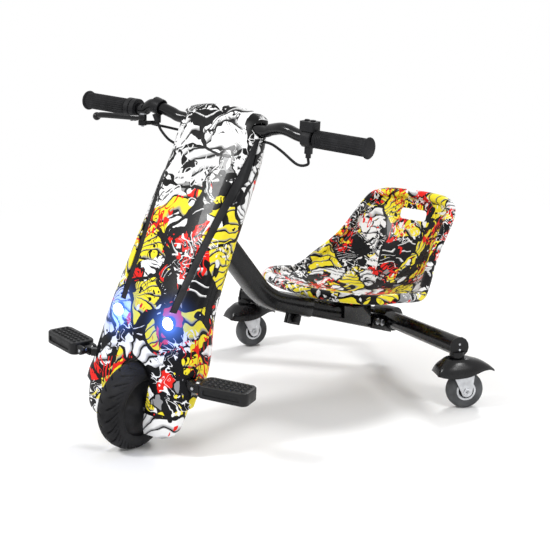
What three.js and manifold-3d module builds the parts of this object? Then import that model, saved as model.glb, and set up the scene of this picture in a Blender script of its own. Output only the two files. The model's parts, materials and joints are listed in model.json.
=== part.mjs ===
// A low electric drift tricycle: a broad moulded steering column over one
// driven front wheel, a cranked frame tube, a bucket seat, and a swept rear
// crossbar on two swivelling casters.
// Millimetres, +Z up, the front towards -Y and the rider's left towards +X.

import * as THREE from 'three';
import { mergeVertices } from 'three/addons/utils/BufferGeometryUtils.js';
import Module from 'manifold-3d';

const wasm = await Module();
wasm.setup();

const degrees = THREE.MathUtils.degToRad;

// Shared clearances and facets
const gap = 0.3;
const overrun = 4;
const weldTolerance = 0.001;
const roundSides = 14;
const smallSides = 8;

// Steering geometry
const rake = degrees(26.47);
const steerAngle = degrees(8.2);
const forkOffset = 19.7;

// Front wheel
const wheelRadius = 81;
const wheelY = -382;
const tyreWidth = 46;
const tyreBeadRadius = 52;
const tyreBeadWidth = 34;
const hubHalfWidth = 27;
const hubFlangeRadius = 46;
const hubCoverRadius = 34;
const axleRadius = 5;
const axleHalfLength = 61;
const nutRadius = 7.5;
const nutWidth = 7;

// Fork, steering column and the carrier plate in front of it
const bladeX = 44;
const bladeThickness = 6;
const bladeEndRadius = 8;
const bladeTopDepth = 26;
const crownHeight = 103;
const crownThickness = 14;
const columnRadius = 13;
const columnBelowBar = 65;
const raceHeight = 296;
const raceThickness = 8;
const raceRadius = 17;
const carrierWidth = 62;
const carrierY = -28;
const carrierThickness = 4;
const carrierBottom = 128;
const carrierTop = 408;
const webThickness = 6;
const webTop = 290;
const wingHeight = 176;
const wingThickness = 5;
const wingDepth = 34;
const ledgeThickness = 3;

// Head tube and its bearings, measured along the steering axis from the axle
const headCentre = 369.6;
const headLength = 104;
const headRadius = 19.5;
const bearingThickness = 9;
const headNutThickness = 9;
const headNutRadius = 18;

// Stem and handlebar
const stemGrip = 38;
const stemRadius = 16;
const stemArmSize = 24;
const barRadius = 11;
const barClampRadius = 14;
const barClampHalfWidth = 26;
const barHalfLength = 329;
const barZ = 578;
const barAhead = 56.5;
const barSetback = 15;
const barDip = 4.5;
const barSteps = 44;
const barStraight = 180;
const barRise = 13;
const axisFootY = wheelY + forkOffset * Math.cos(rake);
const axisFootZ = wheelRadius - forkOffset * Math.sin(rake);
const barY = axisFootY + (barZ - axisFootZ) * Math.tan(rake) - barAhead;
const barCentreY = barY + barSetback;
const barCentreZ = barZ - barDip;
const columnTop = (barZ - axisFootZ) / Math.cos(rake) - columnBelowBar;
const stemBottom = columnTop - stemGrip;

// Moulded shell round the column
const shellFootY = -400;
const shellFootZ = 40;
const shellAboveBar = 29;
const footHeight = 206;
const footLean = 37;
const bodySlopeShare = 0.59;
const shellRoom = 19;
const shellHalfWidth = 124;
const shellWall = 4;
const shellExponent = 3;
const shellRingPoints = 22;
const splitShare = 0.36;
const archHalfWidth = 38;
const archShoulder = 132;
const archTop = 170;
const wellClearance = 8;
const wellWall = 3;
const windowHalfWidth = 75;
const windowBelowHead = 63.6;
const windowAboveHead = 82.4;
const grooveWidth = 16;
const trimRecess = 2;
const trimThickness = 3;

// The foot goes up to the lamps and follows the wheel; the body above it
// reaches past the bar
const bodyHeight = barZ + shellAboveBar - shellFootZ - footHeight;
const bodyLean = bodyHeight * bodySlopeShare;
const shellLean = footLean + bodyLean;

// Shares of the height and of the lean where the foot ends
const footShares = [0.363, 0.148];

// Each row: share of the height, of the lean, of the depth, of the half width
const shellShares = [
  [0, 0.016, 0.233, 0.952],
  [0.035, 0.004, 0.325, 0.984],
  [0.134, 0.044, 0.508, 1],
  [0.178, 0.068, 0.758, 0.984],
  [0.25, 0.096, 0.9, 0.935],
  [0.363, 0.148, 1, 0.831],
  [0.533, 0.364, 0.883, 0.798],
  [0.637, 0.5, 0.842, 0.79],
  [0.753, 0.652, 0.8, 0.774],
  [0.841, 0.768, 0.725, 0.766],
  [0.907, 0.852, 0.592, 0.758],
  [0.97, 0.94, 0.408, 0.742],
  [1, 0.992, 0.233, 0.677],
];

// Front outline of the shell: shares of the half width and of the height
const outlineShares = [
  [0.63, 0],
  [0.8, 0.014],
  [0.92, 0.04],
  [0.98, 0.075],
  [1.02, 0.11],
  [1.02, 0.93],
  [0.79, 0.955],
  [0.745, 0.975],
  [0.4, 0.993],
  [0, 1],
];

// Centre line of each decorative groove, in the same shares
const grooveShares = [
  [0.485, 0.394],
  [0.548, 0.541],
  [0.637, 0.688],
  [0.726, 0.811],
  [0.79, 0.917],
];

// Headlights
const lampX = 60;
const lampZ = shellFootZ + footHeight;
const lampRadius = 12.5;
const lampLength = 26;
const lampProud = 3;
const lensRadius = 9.5;
const lensLength = 10;
const lensDome = 3;

// Battery and motor controller on the carrier plate
const batteryWidth = 84;
const batteryDepth = 27;
const batteryHeight = 126;
const controllerWidth = 58;
const controllerDepth = 24;
const controllerHeight = 82;
const shellDepth = batteryDepth - carrierY + carrierThickness / 2 + raceRadius
  + 2 * (shellWall + shellRoom);

// Charging inlet low on the back of the shell
const inletRadius = 9;
const inletLength = 14;
const inletFlange = 12;
const inletFlangeThickness = 2;
const inletBore = 5;
const inletBoreDepth = 9;
const inletAboveLamps = 16;
const inletZ = lampZ + inletAboveLamps;

// Grips and hand controls
const gripRadius = 15.5;
const gripEndRadius = 19;
const gripInner = 222;
const gripEndWall = 4;
const gripFlange = 6;
const gripRibs = 5;
const gripSides = 12;
const gripRibHeight = 0.8;
const collarWidth = 10;
const housingInner = 197;
const housingRadius = 19;
const housingGroove = 1.5;
const housingBulge = 14;
const housingLobeShare = 0.7;
const perchX = 148;
const perchWidth = 18;
const perchRadius = 16;
const perchTilt = degrees(13);
const pivotX = 162;
const pivotAhead = 27;
const pivotBelow = 10;
const pivotY = barY - pivotAhead;
const pivotZ = barZ - pivotBelow;
const pivotRadius = 8;
const perchNeckRadius = 5.6;
const pinRadius = 3;
const pinHeadRadius = 5.4;
const pinTail = 12;
const leverThickness = 7;
const leverWidth = 10;
const leverBallRadius = 8;
const leverBends = [0.25, 0.6];
const leverBallX = 273;
const leverBallAhead = 37;
const leverBallBelow = 21;
const leverBallY = barY - leverBallAhead;
const leverBallZ = barZ - leverBallBelow;
const podInner = 197;
const podOuter = 217;
const podRadius = 17;
const podBoxWidth = 30;
const podBoxDepth = 26;
const podBoxHeight = 17;
const podTabWidth = 12;
const podTabDepth = 9;
const podTabHeight = 15;
const buttonRadius = 4.5;
const buttonHeight = 6;
const buttonProud = 2.5;
const buttonSpacing = 13;
const buttonTravel = 1.5;

// Cables held between the hand controls and the shell
const cableRadius = 2.5;
const cableSides = 8;
const cableSteps = 10;

// Foot pegs
const pegHingeX = 134;
const pegHingeY = -367;
const pegHingeZ = 151;
const pegSweep = degrees(13);
const pegStart = 11;
const pegEnd = 108;
const pegWidth = 52;
const pegThickness = 24;
const pegCorner = 13;
const pegKnuckleRadius = 8;
const pegKnuckleWidth = 18;
const pegLugWidth = 8;
const pegBevel = 3;
const pegPinHalfLength = 19;
const pegPanelLength = 74;
const pegPanelHeight = 9;
const pegPanelDepth = 3;
const studRadius = 3;
const studHeight = 2;
const studColumns = 5;
const studRows = 2;
const bracketArmHeight = 14;
const bracketArmThickness = 9;
const bracketNeck = 14;
const bracketPadWidth = 22;
const bracketPadThickness = 6;
const bracketPadHeight = 20;
const bracketPadY = -330;

// Frame tubes
const tubeSize = 40;
const tubeCorner = 8;
const kneeY = -39.8;
const kneeZ = 216;
const kneeBlend = 38;
const mouthY = 85;
const mouthZ = 174;
const slideSize = 34;
const slideCorner = 6;
const slideInsert = 82;
const slideLength = 266;
const lugWidth = 14;
const lugDepth = 34;
const lugHeight = 24;
const lugBack = 34;
const lugSlit = 3;
const slideWall = 3;
const clampBoltRadius = 4;
const clampNutRadius = 6.4;
const clampKnobRadius = 7.5;
const clampKnobWidth = 9;

// Rear crossbar with its yoke
const apexY = 350;
const apexZ = 99;
const armEndX = 304;
const armEndY = 200;
const armEndZ = 127;
const armRadius = 19;
const capThickness = 3;
const capLip = 1.5;
const socketRadius = 15;
const socketBottom = 106;
const socketTop = 118;
const yokeRadius = 27;
const yokeHalfWidth = 25;
const yokePlate = 4;
const yokePlateLength = 72;
const yokePlateHeight = 34;
const yokeBoltRadius = 4;
const yokeHeadRadius = 7.5;
const yokeHeadWidth = 5;
const yokeBoltSpacing = 17;
const yokeBoltBack = 61;

// Casters
const stemX = 300;
const stemY = 200;
const trail = 17.6;
const casterRadius = 37.5;
const casterWidth = 26;
const casterRimRadius = 23;
const casterHubRadius = 9;
const casterAxleRadius = 4;
const casterHeadings = { left: degrees(34.9), right: degrees(18.5) };
const casterPlate = 2.5;
const casterClearance = 2.5;
const casterPlateDepth = 30;
const casterCrown = 82;
const casterBossRadius = 14;
const casterBossTop = 105.7;
const casterStemRadius = 6;
const casterStemTop = 115.5;
const fenderFront = 45;
const fenderBack = 80;
const fenderHalfWidth = 30;
const fenderBottom = 52;
const fenderHeight = 48;
const fenderWall = 2.5;
const fenderPower = 0.8;
const fenderRingPoints = 8;

// Each row: share of the length, of the half width, of the height
const fenderShares = [
  [0, 0.3, 0.42],
  [0.06, 0.72, 0.72],
  [0.2, 0.97, 0.95],
  [0.36, 1, 1],
  [0.56, 0.97, 0.96],
  [0.76, 0.76, 0.8],
  [0.92, 0.4, 0.56],
  [1, 0.12, 0.4],
];

// Bucket seat: half width, length and height of the box that it fills
const seatFrontY = 86;
const seatFloorZ = 174;
const seatHalfWidth = 176;
const seatLength = 360;
const seatRise = 186;
const seatWall = 4;
const seatRimRadius = 9.5;
const seatRimSides = 6;
const seatColumns = 10;
const seatRows = 11;
const slotHalfWidth = 37;
const slotHeight = 24;
const slotBelowTop = 40.5;
const bossRadius = 10;
const bossSpacingX = 76;
const bossSpacingY = 68;
const seatPlateTop = 166;
const seatPlateThickness = 4;
const seatPlateWidth = 112;
const seatPlateLength = 92;
const seatPlateY = 224;
const cheekLength = 88;
const cheekDrop = 8;
const cheekThickness = 5;

// Shares of the seat's length and rise along its middle and along its rim,
// the rim with its share of the half width and its middle's bulge power
const seatMiddleShares = [
  [0, 0.19],
  [0.08, 0.1],
  [0.19, 0.04],
  [0.32, 0.01],
  [0.45, 0],
  [0.57, 0.02],
  [0.67, 0.065],
  [0.78, 0.18],
  [0.89, 0.43],
  [0.96, 0.7],
  [0.99, 0.89],
  [1, 1.03],
];
const seatRimShares = [
  [0.9, 0.12, 0.2],
  [0.98, 0.21, 0.2],
  [1, 0.32, 0.17],
  [0.99, 0.43, 0.15],
  [0.94, 0.5, 0.21],
  [0.88, 0.57, 0.31],
  [0.82, 0.63, 0.39],
  [0.75, 0.72, 0.52],
  [0.71, 0.81, 0.68],
  [0.67, 0.91, 0.87],
  [0.6, 0.955, 0.97],
  [0.45, 0.98, 1.02],
];
const seatBulge = 2.4;

// Colours and finishes
function finish(color, roughness, metalness) {
  return new THREE.MeshStandardMaterial({ color, roughness, metalness });
}

const finishes = {
  print: finish(0xe8e6e0, 0.22, 0),
  blackPaint: finish(0x121214, 0.25, 0.3),
  blackPlastic: finish(0x161618, 0.55, 0),
  rubber: finish(0x2a2b2d, 0.85, 0),
  zinc: finish(0xb9bcc0, 0.35, 0.9),
  greyTyre: finish(0x77797c, 0.6, 0),
  steel: finish(0x8e9196, 0.4, 0.85),
  lens: finish(0xdfeaff, 0.1, 0),
  battery: finish(0x2b4a78, 0.5, 0),
  alloy: finish(0x55585c, 0.45, 0.7),
};

// Closed solids: weld the corners, drop collapsed faces, turn the faces out
function closed(geometry) {
  const bare = geometry.clone();
  bare.deleteAttribute('normal');
  bare.deleteAttribute('uv');
  const welded = mergeVertices(bare, weldTolerance);
  const place = welded.attributes.position;
  const corner = [new THREE.Vector3(), new THREE.Vector3(), new THREE.Vector3()];
  const faces = [];
  let volume = 0;
  for (let i = 0; i < welded.index.count; i += corner.length) {
    const ids = corner.map((point, k) => welded.index.getX(i + k));
    if (new Set(ids).size < corner.length) continue;
    ids.forEach((id, k) => corner[k].fromBufferAttribute(place, id));
    volume += corner[0].dot(corner[1].clone().cross(corner[2]));
    faces.push(ids);
  }
  welded.setIndex(faces.flatMap((ids) => (volume < 0 ? ids.reverse() : ids)));
  welded.computeVertexNormals();
  return welded;
}

function solidOf(geometry) {
  const shape = closed(geometry);
  return new wasm.Manifold(new wasm.Mesh({
    numProp: 3,
    vertProperties: Float32Array.from(shape.attributes.position.array),
    triVerts: Uint32Array.from(shape.index.array),
  }));
}

function geometryOf(solid) {
  const mesh = solid.getMesh();
  const geometry = new THREE.BufferGeometry();
  const places = Float32Array.from(mesh.vertProperties);
  geometry.setAttribute('position', new THREE.BufferAttribute(places, 3));
  geometry.setIndex(new THREE.BufferAttribute(Uint32Array.from(mesh.triVerts), 1));
  return closed(geometry);
}

function join(...pieces) {
  return geometryOf(pieces.map(solidOf).reduce((a, b) => a.add(b)));
}

function cut(piece, ...tools) {
  return geometryOf(tools.map(solidOf).reduce((a, b) => a.subtract(b), solidOf(piece)));
}

function common(...pieces) {
  return geometryOf(pieces.map(solidOf).reduce((a, b) => a.intersect(b)));
}

// Basic shapes
function box(width, depth, height) {
  return new THREE.BoxGeometry(width, depth, height);
}

function rod(axis, radius, length, sides = roundSides) {
  const geometry = new THREE.CylinderGeometry(radius, radius, length, sides);
  return turned(geometry, axis);
}

function turned(geometry, axis) {
  if (axis === 'x') geometry.rotateZ(-Math.PI / 2);
  if (axis === 'z') geometry.rotateX(Math.PI / 2);
  return geometry;
}

// A faceted bore whose flats still clear the round shaft in it
function boreRadius(shaft, sides = roundSides) {
  return (shaft + gap) / Math.cos(Math.PI / sides);
}

function lathe(axis, rows, sides = roundSides) {
  const profile = rows.map(([radius, height]) => new THREE.Vector2(radius, height));
  return turned(new THREE.LatheGeometry(profile, sides), axis);
}

function ring(axis, inner, outer, length, sides = roundSides) {
  const half = length / 2;
  return lathe(axis, [[inner, -half], [outer, -half], [outer, half], [inner, half], [inner, -half]], sides);
}

function polygon(points) {
  return new THREE.Shape(points.map(([x, y]) => new THREE.Vector2(x, y)));
}

function roundedRectangle(width, height, corner, steps = 2) {
  const points = [];
  for (let quarter = 0; quarter < 4; quarter += 1) {
    const sx = quarter === 0 || quarter === 3 ? 1 : -1;
    const sy = quarter < 2 ? 1 : -1;
    for (let i = 0; i <= steps; i += 1) {
      const turn = (quarter + i / steps) * Math.PI / 2;
      points.push([
        sx * (width / 2 - corner) + corner * Math.cos(turn),
        sy * (height / 2 - corner) + corner * Math.sin(turn),
      ]);
    }
  }
  return polygon(points);
}

// A flat outline made thick, centred on its own plane
function slab(shape, thickness) {
  const geometry = new THREE.ExtrudeGeometry(shape, { depth: thickness, bevelEnabled: false });
  return geometry.translate(0, 0, -thickness / 2);
}

// An outline in X and Z, made thick along Y between two places
function frontPrism(points, fromY, toY) {
  const geometry = slab(polygon(points), toY - fromY);
  return geometry.rotateX(Math.PI / 2).translate(0, (fromY + toY) / 2, 0);
}

// An outline in Y and Z, made thick along X about the middle
function sidePrism(points, width) {
  return slab(polygon(points), width).rotateX(Math.PI / 2).rotateZ(Math.PI / 2);
}

function sweep(shape, curve, steps) {
  return new THREE.ExtrudeGeometry(shape, { extrudePath: curve, steps, bevelEnabled: false });
}

function roundSection(radius, sides) {
  const points = [];
  for (let i = 0; i < sides; i += 1) {
    const turn = (i / sides) * Math.PI * 2;
    points.push([radius * Math.cos(turn), radius * Math.sin(turn)]);
  }
  return polygon(points);
}

function pathThrough(points) {
  return new THREE.CatmullRomCurve3(points.map((point) => new THREE.Vector3(...point)));
}

// A skin over rings with equal counts of points, closed by a fan at each end
function loft(rings) {
  const count = rings[0].length;
  const places = rings.flat();
  const faces = [];
  for (let r = 0; r < rings.length - 1; r += 1) {
    for (let i = 0; i < count; i += 1) {
      const a = r * count + i;
      const b = r * count + ((i + 1) % count);
      faces.push(a, b, a + count, b, b + count, a + count);
    }
  }
  [0, rings.length - 1].forEach((r) => {
    const middle = new THREE.Vector3();
    rings[r].forEach((point) => middle.addScaledVector(point, 1 / count));
    places.push(middle);
    for (let i = 0; i < count; i += 1) {
      const edge = [r * count + i, r * count + ((i + 1) % count)];
      faces.push(places.length - 1, ...(r === 0 ? edge.reverse() : edge));
    }
  });
  const geometry = new THREE.BufferGeometry().setFromPoints(places);
  geometry.setIndex(faces);
  return geometry;
}

function mix(a, b, share) {
  return a + (b - a) * share;
}

// A row of a table of shares at any place along the table
function rowAt(table, place) {
  const at = Math.min(Math.max(place, 0), 1) * (table.length - 1);
  const low = Math.min(Math.floor(at), table.length - 2);
  return table[low].map((value, k) => mix(value, table[low + 1][k], at - low));
}

// Places on the steering axis: its foot is level with the axle
const rakedFrame = new THREE.Matrix4().makeRotationX(-rake).setPosition(0, axisFootY, axisFootZ);
const uprightToRaked = rakedFrame.clone().invert();

function onRake(x, y, along) {
  return new THREE.Vector3(x, y, along).applyMatrix4(rakedFrame);
}

// A share of the shell's height or lean as a real one, foot and body apart
function inShell(share, endShare, foot, body) {
  if (share < endShare) return (share / endShare) * foot;
  return foot + ((share - endShare) / (1 - endShare)) * body;
}

function shellLevel(share) {
  return shellFootZ + inShell(share, footShares[0], footHeight, bodyHeight);
}

// Shell: one row of the table as real places, drawn in by an inset
function shellRow([heightShare, leanShare, depthShare, widthShare], inset) {
  const front = shellFootY + inShell(leanShare, footShares[1], footLean, bodyLean);
  const depth = depthShare * shellDepth;
  return {
    z: shellLevel(heightShare),
    middle: front + splitShare * depth,
    ahead: splitShare * depth - inset,
    behind: (1 - splitShare) * depth - inset,
    half: widthShare * shellHalfWidth - inset,
  };
}

function shellRing(row, z) {
  const points = [];
  for (let i = 0; i < shellRingPoints; i += 1) {
    const turn = (i / shellRingPoints) * Math.PI * 2;
    const power = 2 / shellExponent;
    const across = Math.sign(Math.cos(turn)) * Math.abs(Math.cos(turn)) ** power;
    const along = Math.sign(Math.sin(turn)) * Math.abs(Math.sin(turn)) ** power;
    const depth = along > 0 ? row.behind : row.ahead;
    points.push(new THREE.Vector3(row.half * across, row.middle + depth * along, z));
  }
  return points;
}

function shellOutline(inset, footDrop) {
  const right = outlineShares.map(([across, up], i) => [
    across * shellHalfWidth - inset,
    shellLevel(up) - (i === 0 ? footDrop : 0) - (up > footShares[0] ? inset : 0),
  ]);
  const last = right.length - 1;
  right[last][0] = 0;
  const left = right.slice(0, last).reverse().map(([x, z]) => [-x, z]);
  return [...right, ...left];
}

// The whole shell as a plain body, drawn in by an inset and open below it
function shellBody(inset) {
  const footDrop = inset > 0 ? overrun : 0;
  const rows = shellShares.map((shares) => shellRow(shares, inset));
  const rings = rows.map((row) => shellRing(row, row.z));
  rings.unshift(shellRing(rows[0], shellFootZ - 2 * overrun));
  rings.push(shellRing(rows[rows.length - 1], shellLevel(1) + overrun));
  const outline = shellOutline(inset, footDrop);
  const reach = shellLean + shellDepth;
  const prism = frontPrism(outline, shellFootY - reach, shellFootY + 2 * reach);
  return common(loft(rings), prism);
}

// Room for the front wheel between the two legs
function wheelWell(grow) {
  const half = archHalfWidth + grow;
  const top = archTop + grow;
  const points = [[-half, -top], [half, -top], [half, archShoulder]];
  const steps = 8;
  for (let i = 1; i < steps; i += 1) {
    const turn = (i / steps) * Math.PI;
    points.push([half * Math.cos(turn), archShoulder + (top - archShoulder) * Math.sin(turn)]);
  }
  points.push([-half, archShoulder]);
  const radius = wheelRadius + wellClearance + grow;
  const arch = frontPrism(points, wheelY - 2 * wheelRadius, wheelY + radius + overrun);
  const wide = 2 * (half + overrun);
  const round = rod('x', radius, wide, 2 * roundSides).translate(0, wheelY, wheelRadius);
  const ahead = box(wide, 2 * wheelRadius, 2 * top).translate(0, wheelY - wheelRadius, 0);
  const below = box(wide, 2 * radius, 2 * wheelRadius).translate(0, wheelY, 0);
  return common(arch, join(round, ahead, below));
}

// Everything ahead of the line where the two covers meet, or behind it
function coverSide(sign, clearance) {
  const rows = shellShares.map((shares) => shellRow(shares, 0));
  const line = rows.map((row) => [row.middle + sign * clearance, row.z]);
  const far = shellFootY + sign * 2 * (shellLean + shellDepth);
  line.unshift([line[0][0], shellFootZ - 2 * overrun]);
  line.push([line[line.length - 1][0], shellLevel(1) + 2 * overrun]);
  const points = [...line, [far, line[line.length - 1][1]], [far, line[0][1]]];
  return sidePrism(points, 3 * shellHalfWidth);
}

function grooveBand(side, width) {
  const line = grooveShares.map(([across, up]) => [
    across * shellHalfWidth,
    shellLevel(up),
  ]);
  const inner = line.map(([x, z]) => [side * (x - width / 2), z]);
  const outer = line.map(([x, z]) => [side * (x + width / 2), z]).reverse();
  const back = shellFootY + shellLean + shellDepth;
  return frontPrism([...inner, ...outer], shellFootY - shellDepth, back);
}

function hollowShell() {
  const room = cut(shellBody(shellWall), wheelWell(wellWall));
  return cut(shellBody(0), room, wheelWell(0));
}

// Openings in the shell for the axle, the bar, the pegs, lamps and cables
function shellHoles(side) {
  const slot = rod('x', axleRadius + wellWall, archHalfWidth);
  const bar = rod('x', barRadius + wellWall, shellHalfWidth);
  const lamp = rod('y', lampRadius + gap, 4 * lampLength);
  const arm = bracketArm(side, 2 * gap);
  return [
    slot.translate(side * (archHalfWidth - axleRadius + overrun), wheelY, wheelRadius),
    bar.translate(side * shellHalfWidth, barCentreY, barCentreZ + gap),
    lamp.translate(side * lampX, shellFootY + shellDepth / 2, lampZ),
    arm,
  ];
}

const hollow = hollowShell();
const sides = [1, -1];
const sideName = { 1: 'left', [-1]: 'right' };

function frontCover() {
  const bands = sides.map((side) => grooveBand(side, grooveWidth));
  const holes = sides.flatMap((side) => shellHoles(side));
  const front = common(hollow, coverSide(-1, gap / 2));
  return cut(front, ...bands, ...holes, ...cableHoles());
}

function rearCover() {
  const tall = windowAboveHead + windowBelowHead;
  const window = box(2 * windowHalfWidth, shellDepth, tall)
    .translate(0, shellDepth / 2, headCentre - windowBelowHead + tall / 2)
    .applyMatrix4(rakedFrame);
  const inlet = rod('y', inletRadius + gap, shellDepth).translate(0, inletY, inletZ);
  const holes = sides.flatMap((side) => shellHoles(side));
  const rear = common(hollow, coverSide(1, gap / 2));
  return cut(rear, window, inlet, ...holes, ...cableHoles());
}

function grooveTrim(side) {
  const skin = cut(shellBody(trimRecess), shellBody(trimRecess + trimThickness));
  const band = grooveBand(side, grooveWidth - 2 * gap);
  const lamp = rod('y', lampRadius + 2 * gap, 4 * lampLength)
    .translate(side * lampX, shellFootY + shellDepth / 2, lampZ);
  return cut(common(skin, band, coverSide(-1, gap)), lamp);
}

// Where the shell's front and back lie at a height, on its middle line
function shellAt(z) {
  const rows = shellShares.map((shares) => shellRow(shares, 0));
  const above = Math.max(rows.findIndex((row) => row.z > z), 1);
  const [low, high] = [rows[above - 1], rows[above]];
  const share = (z - low.z) / (high.z - low.z);
  return {
    front: mix(low.middle - low.ahead, high.middle - high.ahead, share),
    back: mix(low.middle + low.behind, high.middle + high.behind, share),
  };
}

const lampFaceY = shellAt(lampZ).front;
const inletY = shellAt(inletZ).back;

// Headlight: a cup in the shell's face with a domed lens in it
function lampCup() {
  const seat = lensLength - lensDome + gap;
  const body = rod('y', lampRadius, lampLength);
  const pocket = rod('y', lensRadius + gap, seat + overrun)
    .translate(0, (seat - overrun - lampLength) / 2, 0);
  return cut(body, pocket);
}

function lampLens() {
  return lathe('y', [
    [0, -lensLength / 2],
    [lensRadius * 0.6, -lensLength / 2 + lensDome * 0.2],
    [lensRadius, -lensLength / 2 + lensDome],
    [lensRadius, lensLength / 2],
    [0, lensLength / 2],
  ]);
}

// Fork: two blades, a crown, the steering column, its bearing seat and the
// carrier plate, welded into one
function forkBlade(side) {
  const top = crownHeight + crownThickness / 2;
  const points = [
    [-forkOffset - bladeEndRadius, 0],
    [-bladeTopDepth / 2, top],
    [bladeTopDepth / 2, top],
    [-forkOffset + bladeEndRadius, 0],
  ];
  const blade = sidePrism(points, bladeThickness);
  const end = rod('x', bladeEndRadius, bladeThickness).translate(0, -forkOffset, 0);
  const bore = rod('x', boreRadius(axleRadius), 2 * bladeThickness).translate(0, -forkOffset, 0);
  return cut(join(blade, end), bore).translate(side * (bladeX + bladeThickness / 2), 0, 0);
}

function carrierPlate() {
  const plate = box(carrierWidth, carrierThickness, carrierTop - carrierBottom)
    .translate(0, carrierY, (carrierTop + carrierBottom) / 2);
  const web = box(webThickness, -carrierY, webTop - crownHeight)
    .translate(0, carrierY / 2, (webTop + crownHeight) / 2);
  const ledge = box(batteryWidth, batteryDepth, ledgeThickness)
    .translate(0, batteryY(), carrierBottom + ledgeThickness / 2);
  const shelf = box(controllerWidth, controllerDepth, ledgeThickness)
    .translate(0, controllerY(), controllerBottom() - gap - ledgeThickness / 2);
  return join(plate, web, ledge, shelf);
}

function batteryY() {
  return carrierY - carrierThickness / 2 - batteryDepth / 2;
}

function controllerY() {
  return carrierY - carrierThickness / 2 - controllerDepth / 2;
}

function controllerBottom() {
  return carrierBottom + ledgeThickness + batteryHeight + 4 * ledgeThickness;
}

// Wings that carry the shell, trimmed to fit just inside it
function shellWings() {
  const wing = box(2 * shellHalfWidth, wingDepth, wingThickness)
    .translate(0, -columnRadius - wingDepth / 2 + webThickness, wingHeight);
  const room = shellBody(shellWall + gap).applyMatrix4(uprightToRaked);
  const batteryRoom = box(batteryWidth + 2 * gap, batteryDepth + 2 * gap, batteryHeight)
    .translate(0, batteryY(), wingHeight);
  return cut(common(wing, room), batteryRoom);
}

function fork() {
  const crown = box(2 * (bladeX + bladeThickness), bladeTopDepth, crownThickness)
    .translate(0, 0, crownHeight);
  const tall = columnTop - crownHeight;
  const column = rod('z', columnRadius, tall).translate(0, 0, crownHeight + tall / 2);
  const race = rod('z', raceRadius, raceThickness).translate(0, 0, raceHeight);
  return join(crown, column, race, carrierPlate(), shellWings(), ...sides.map(forkBlade));
}

// Front wheel
function frontTyre() {
  const beadHalf = tyreBeadWidth / 2;
  const half = tyreWidth / 2;
  const wall = wheelRadius - tyreBeadRadius;
  return lathe('x', [
    [tyreBeadRadius, -beadHalf],
    [tyreBeadRadius + wall * 0.22, -half * 0.95],
    [tyreBeadRadius + wall * 0.5, -half],
    [tyreBeadRadius + wall * 0.74, -half * 0.88],
    [wheelRadius - wall * 0.09, -half * 0.55],
    [wheelRadius, 0],
    [wheelRadius - wall * 0.09, half * 0.55],
    [tyreBeadRadius + wall * 0.74, half * 0.88],
    [tyreBeadRadius + wall * 0.5, half],
    [tyreBeadRadius + wall * 0.22, half * 0.95],
    [tyreBeadRadius, beadHalf],
    [tyreBeadRadius, -beadHalf],
  ], 2 * roundSides);
}

function hubMotor() {
  const bore = boreRadius(axleRadius, 2 * roundSides);
  const rim = tyreBeadRadius - gap;
  const half = tyreBeadWidth / 2;
  const boss = hubCoverRadius / 2;
  return lathe('x', [
    [bore, -hubHalfWidth],
    [boss, -hubHalfWidth],
    [hubCoverRadius, -half],
    [hubFlangeRadius, -half],
    [rim, -half],
    [rim, half],
    [hubFlangeRadius, half],
    [hubCoverRadius, half],
    [boss, hubHalfWidth],
    [bore, hubHalfWidth],
    [bore, -hubHalfWidth],
  ], 2 * roundSides);
}

function axleNut(side) {
  const place = bladeX + bladeThickness + gap + nutWidth / 2;
  return cut(rod('x', nutRadius, nutWidth, 6), rod('x', boreRadius(axleRadius), 2 * nutWidth))
    .translate(side * place, 0, 0);
}

// Straight pieces between two places
function rodBetween(from, to, radius, sides = smallSides) {
  const line = to.clone().sub(from);
  const geometry = new THREE.CylinderGeometry(radius, radius, line.length(), sides);
  const up = new THREE.Vector3(0, 1, 0);
  geometry.applyQuaternion(new THREE.Quaternion().setFromUnitVectors(up, line.normalize()));
  const middle = from.clone().add(to).divideScalar(2);
  return geometry.translate(middle.x, middle.y, middle.z);
}

function levelBarBetween(from, to, thickness, height) {
  const line = to.clone().sub(from);
  const geometry = box(line.length(), thickness, height).rotateZ(Math.atan2(line.y, line.x));
  const middle = from.clone().add(to).divideScalar(2);
  return geometry.translate(middle.x, middle.y, middle.z);
}

// Handlebar: straight ends, a raised bend beside the shell, a flat middle.
// Each row: share of the bend's reach, of the offset in Y, of the rise
const barShares = [
  [0, 0, -0.35],
  [0.3, 0, -0.35],
  [0.555, 0.25, -0.3],
  [0.66, 0.45, 0.15],
  [0.8, 0.85, 0.77],
  [0.89, 1, 1],
  [0.955, 1, 0.55],
  [1, 1, 0],
];

function barPoint(side, [reach, offset, rise]) {
  return new THREE.Vector3(
    side * reach * barStraight,
    mix(barCentreY, barY, offset),
    barZ + rise * barRise,
  );
}

function barBend() {
  const right = barShares.map((row) => barPoint(-1, row)).reverse();
  const left = barShares.slice(1).map((row) => barPoint(1, row));
  return new THREE.CatmullRomCurve3([...right, ...left]);
}

function handlebar() {
  const path = new THREE.CurvePath();
  const end = (side) => new THREE.Vector3(side * barHalfLength, barY, barZ);
  const knee = (side) => new THREE.Vector3(side * barStraight, barY, barZ);
  path.add(new THREE.LineCurve3(end(-1), knee(-1)));
  path.add(barBend());
  path.add(new THREE.LineCurve3(knee(1), end(1)));
  return sweep(roundSection(barRadius, smallSides), path, barSteps);
}

function barAt(x) {
  const points = barBend().getPoints(barSteps * barSteps);
  return points.reduce((a, b) => (Math.abs(b.x - x) < Math.abs(a.x - x) ? b : a));
}

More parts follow.
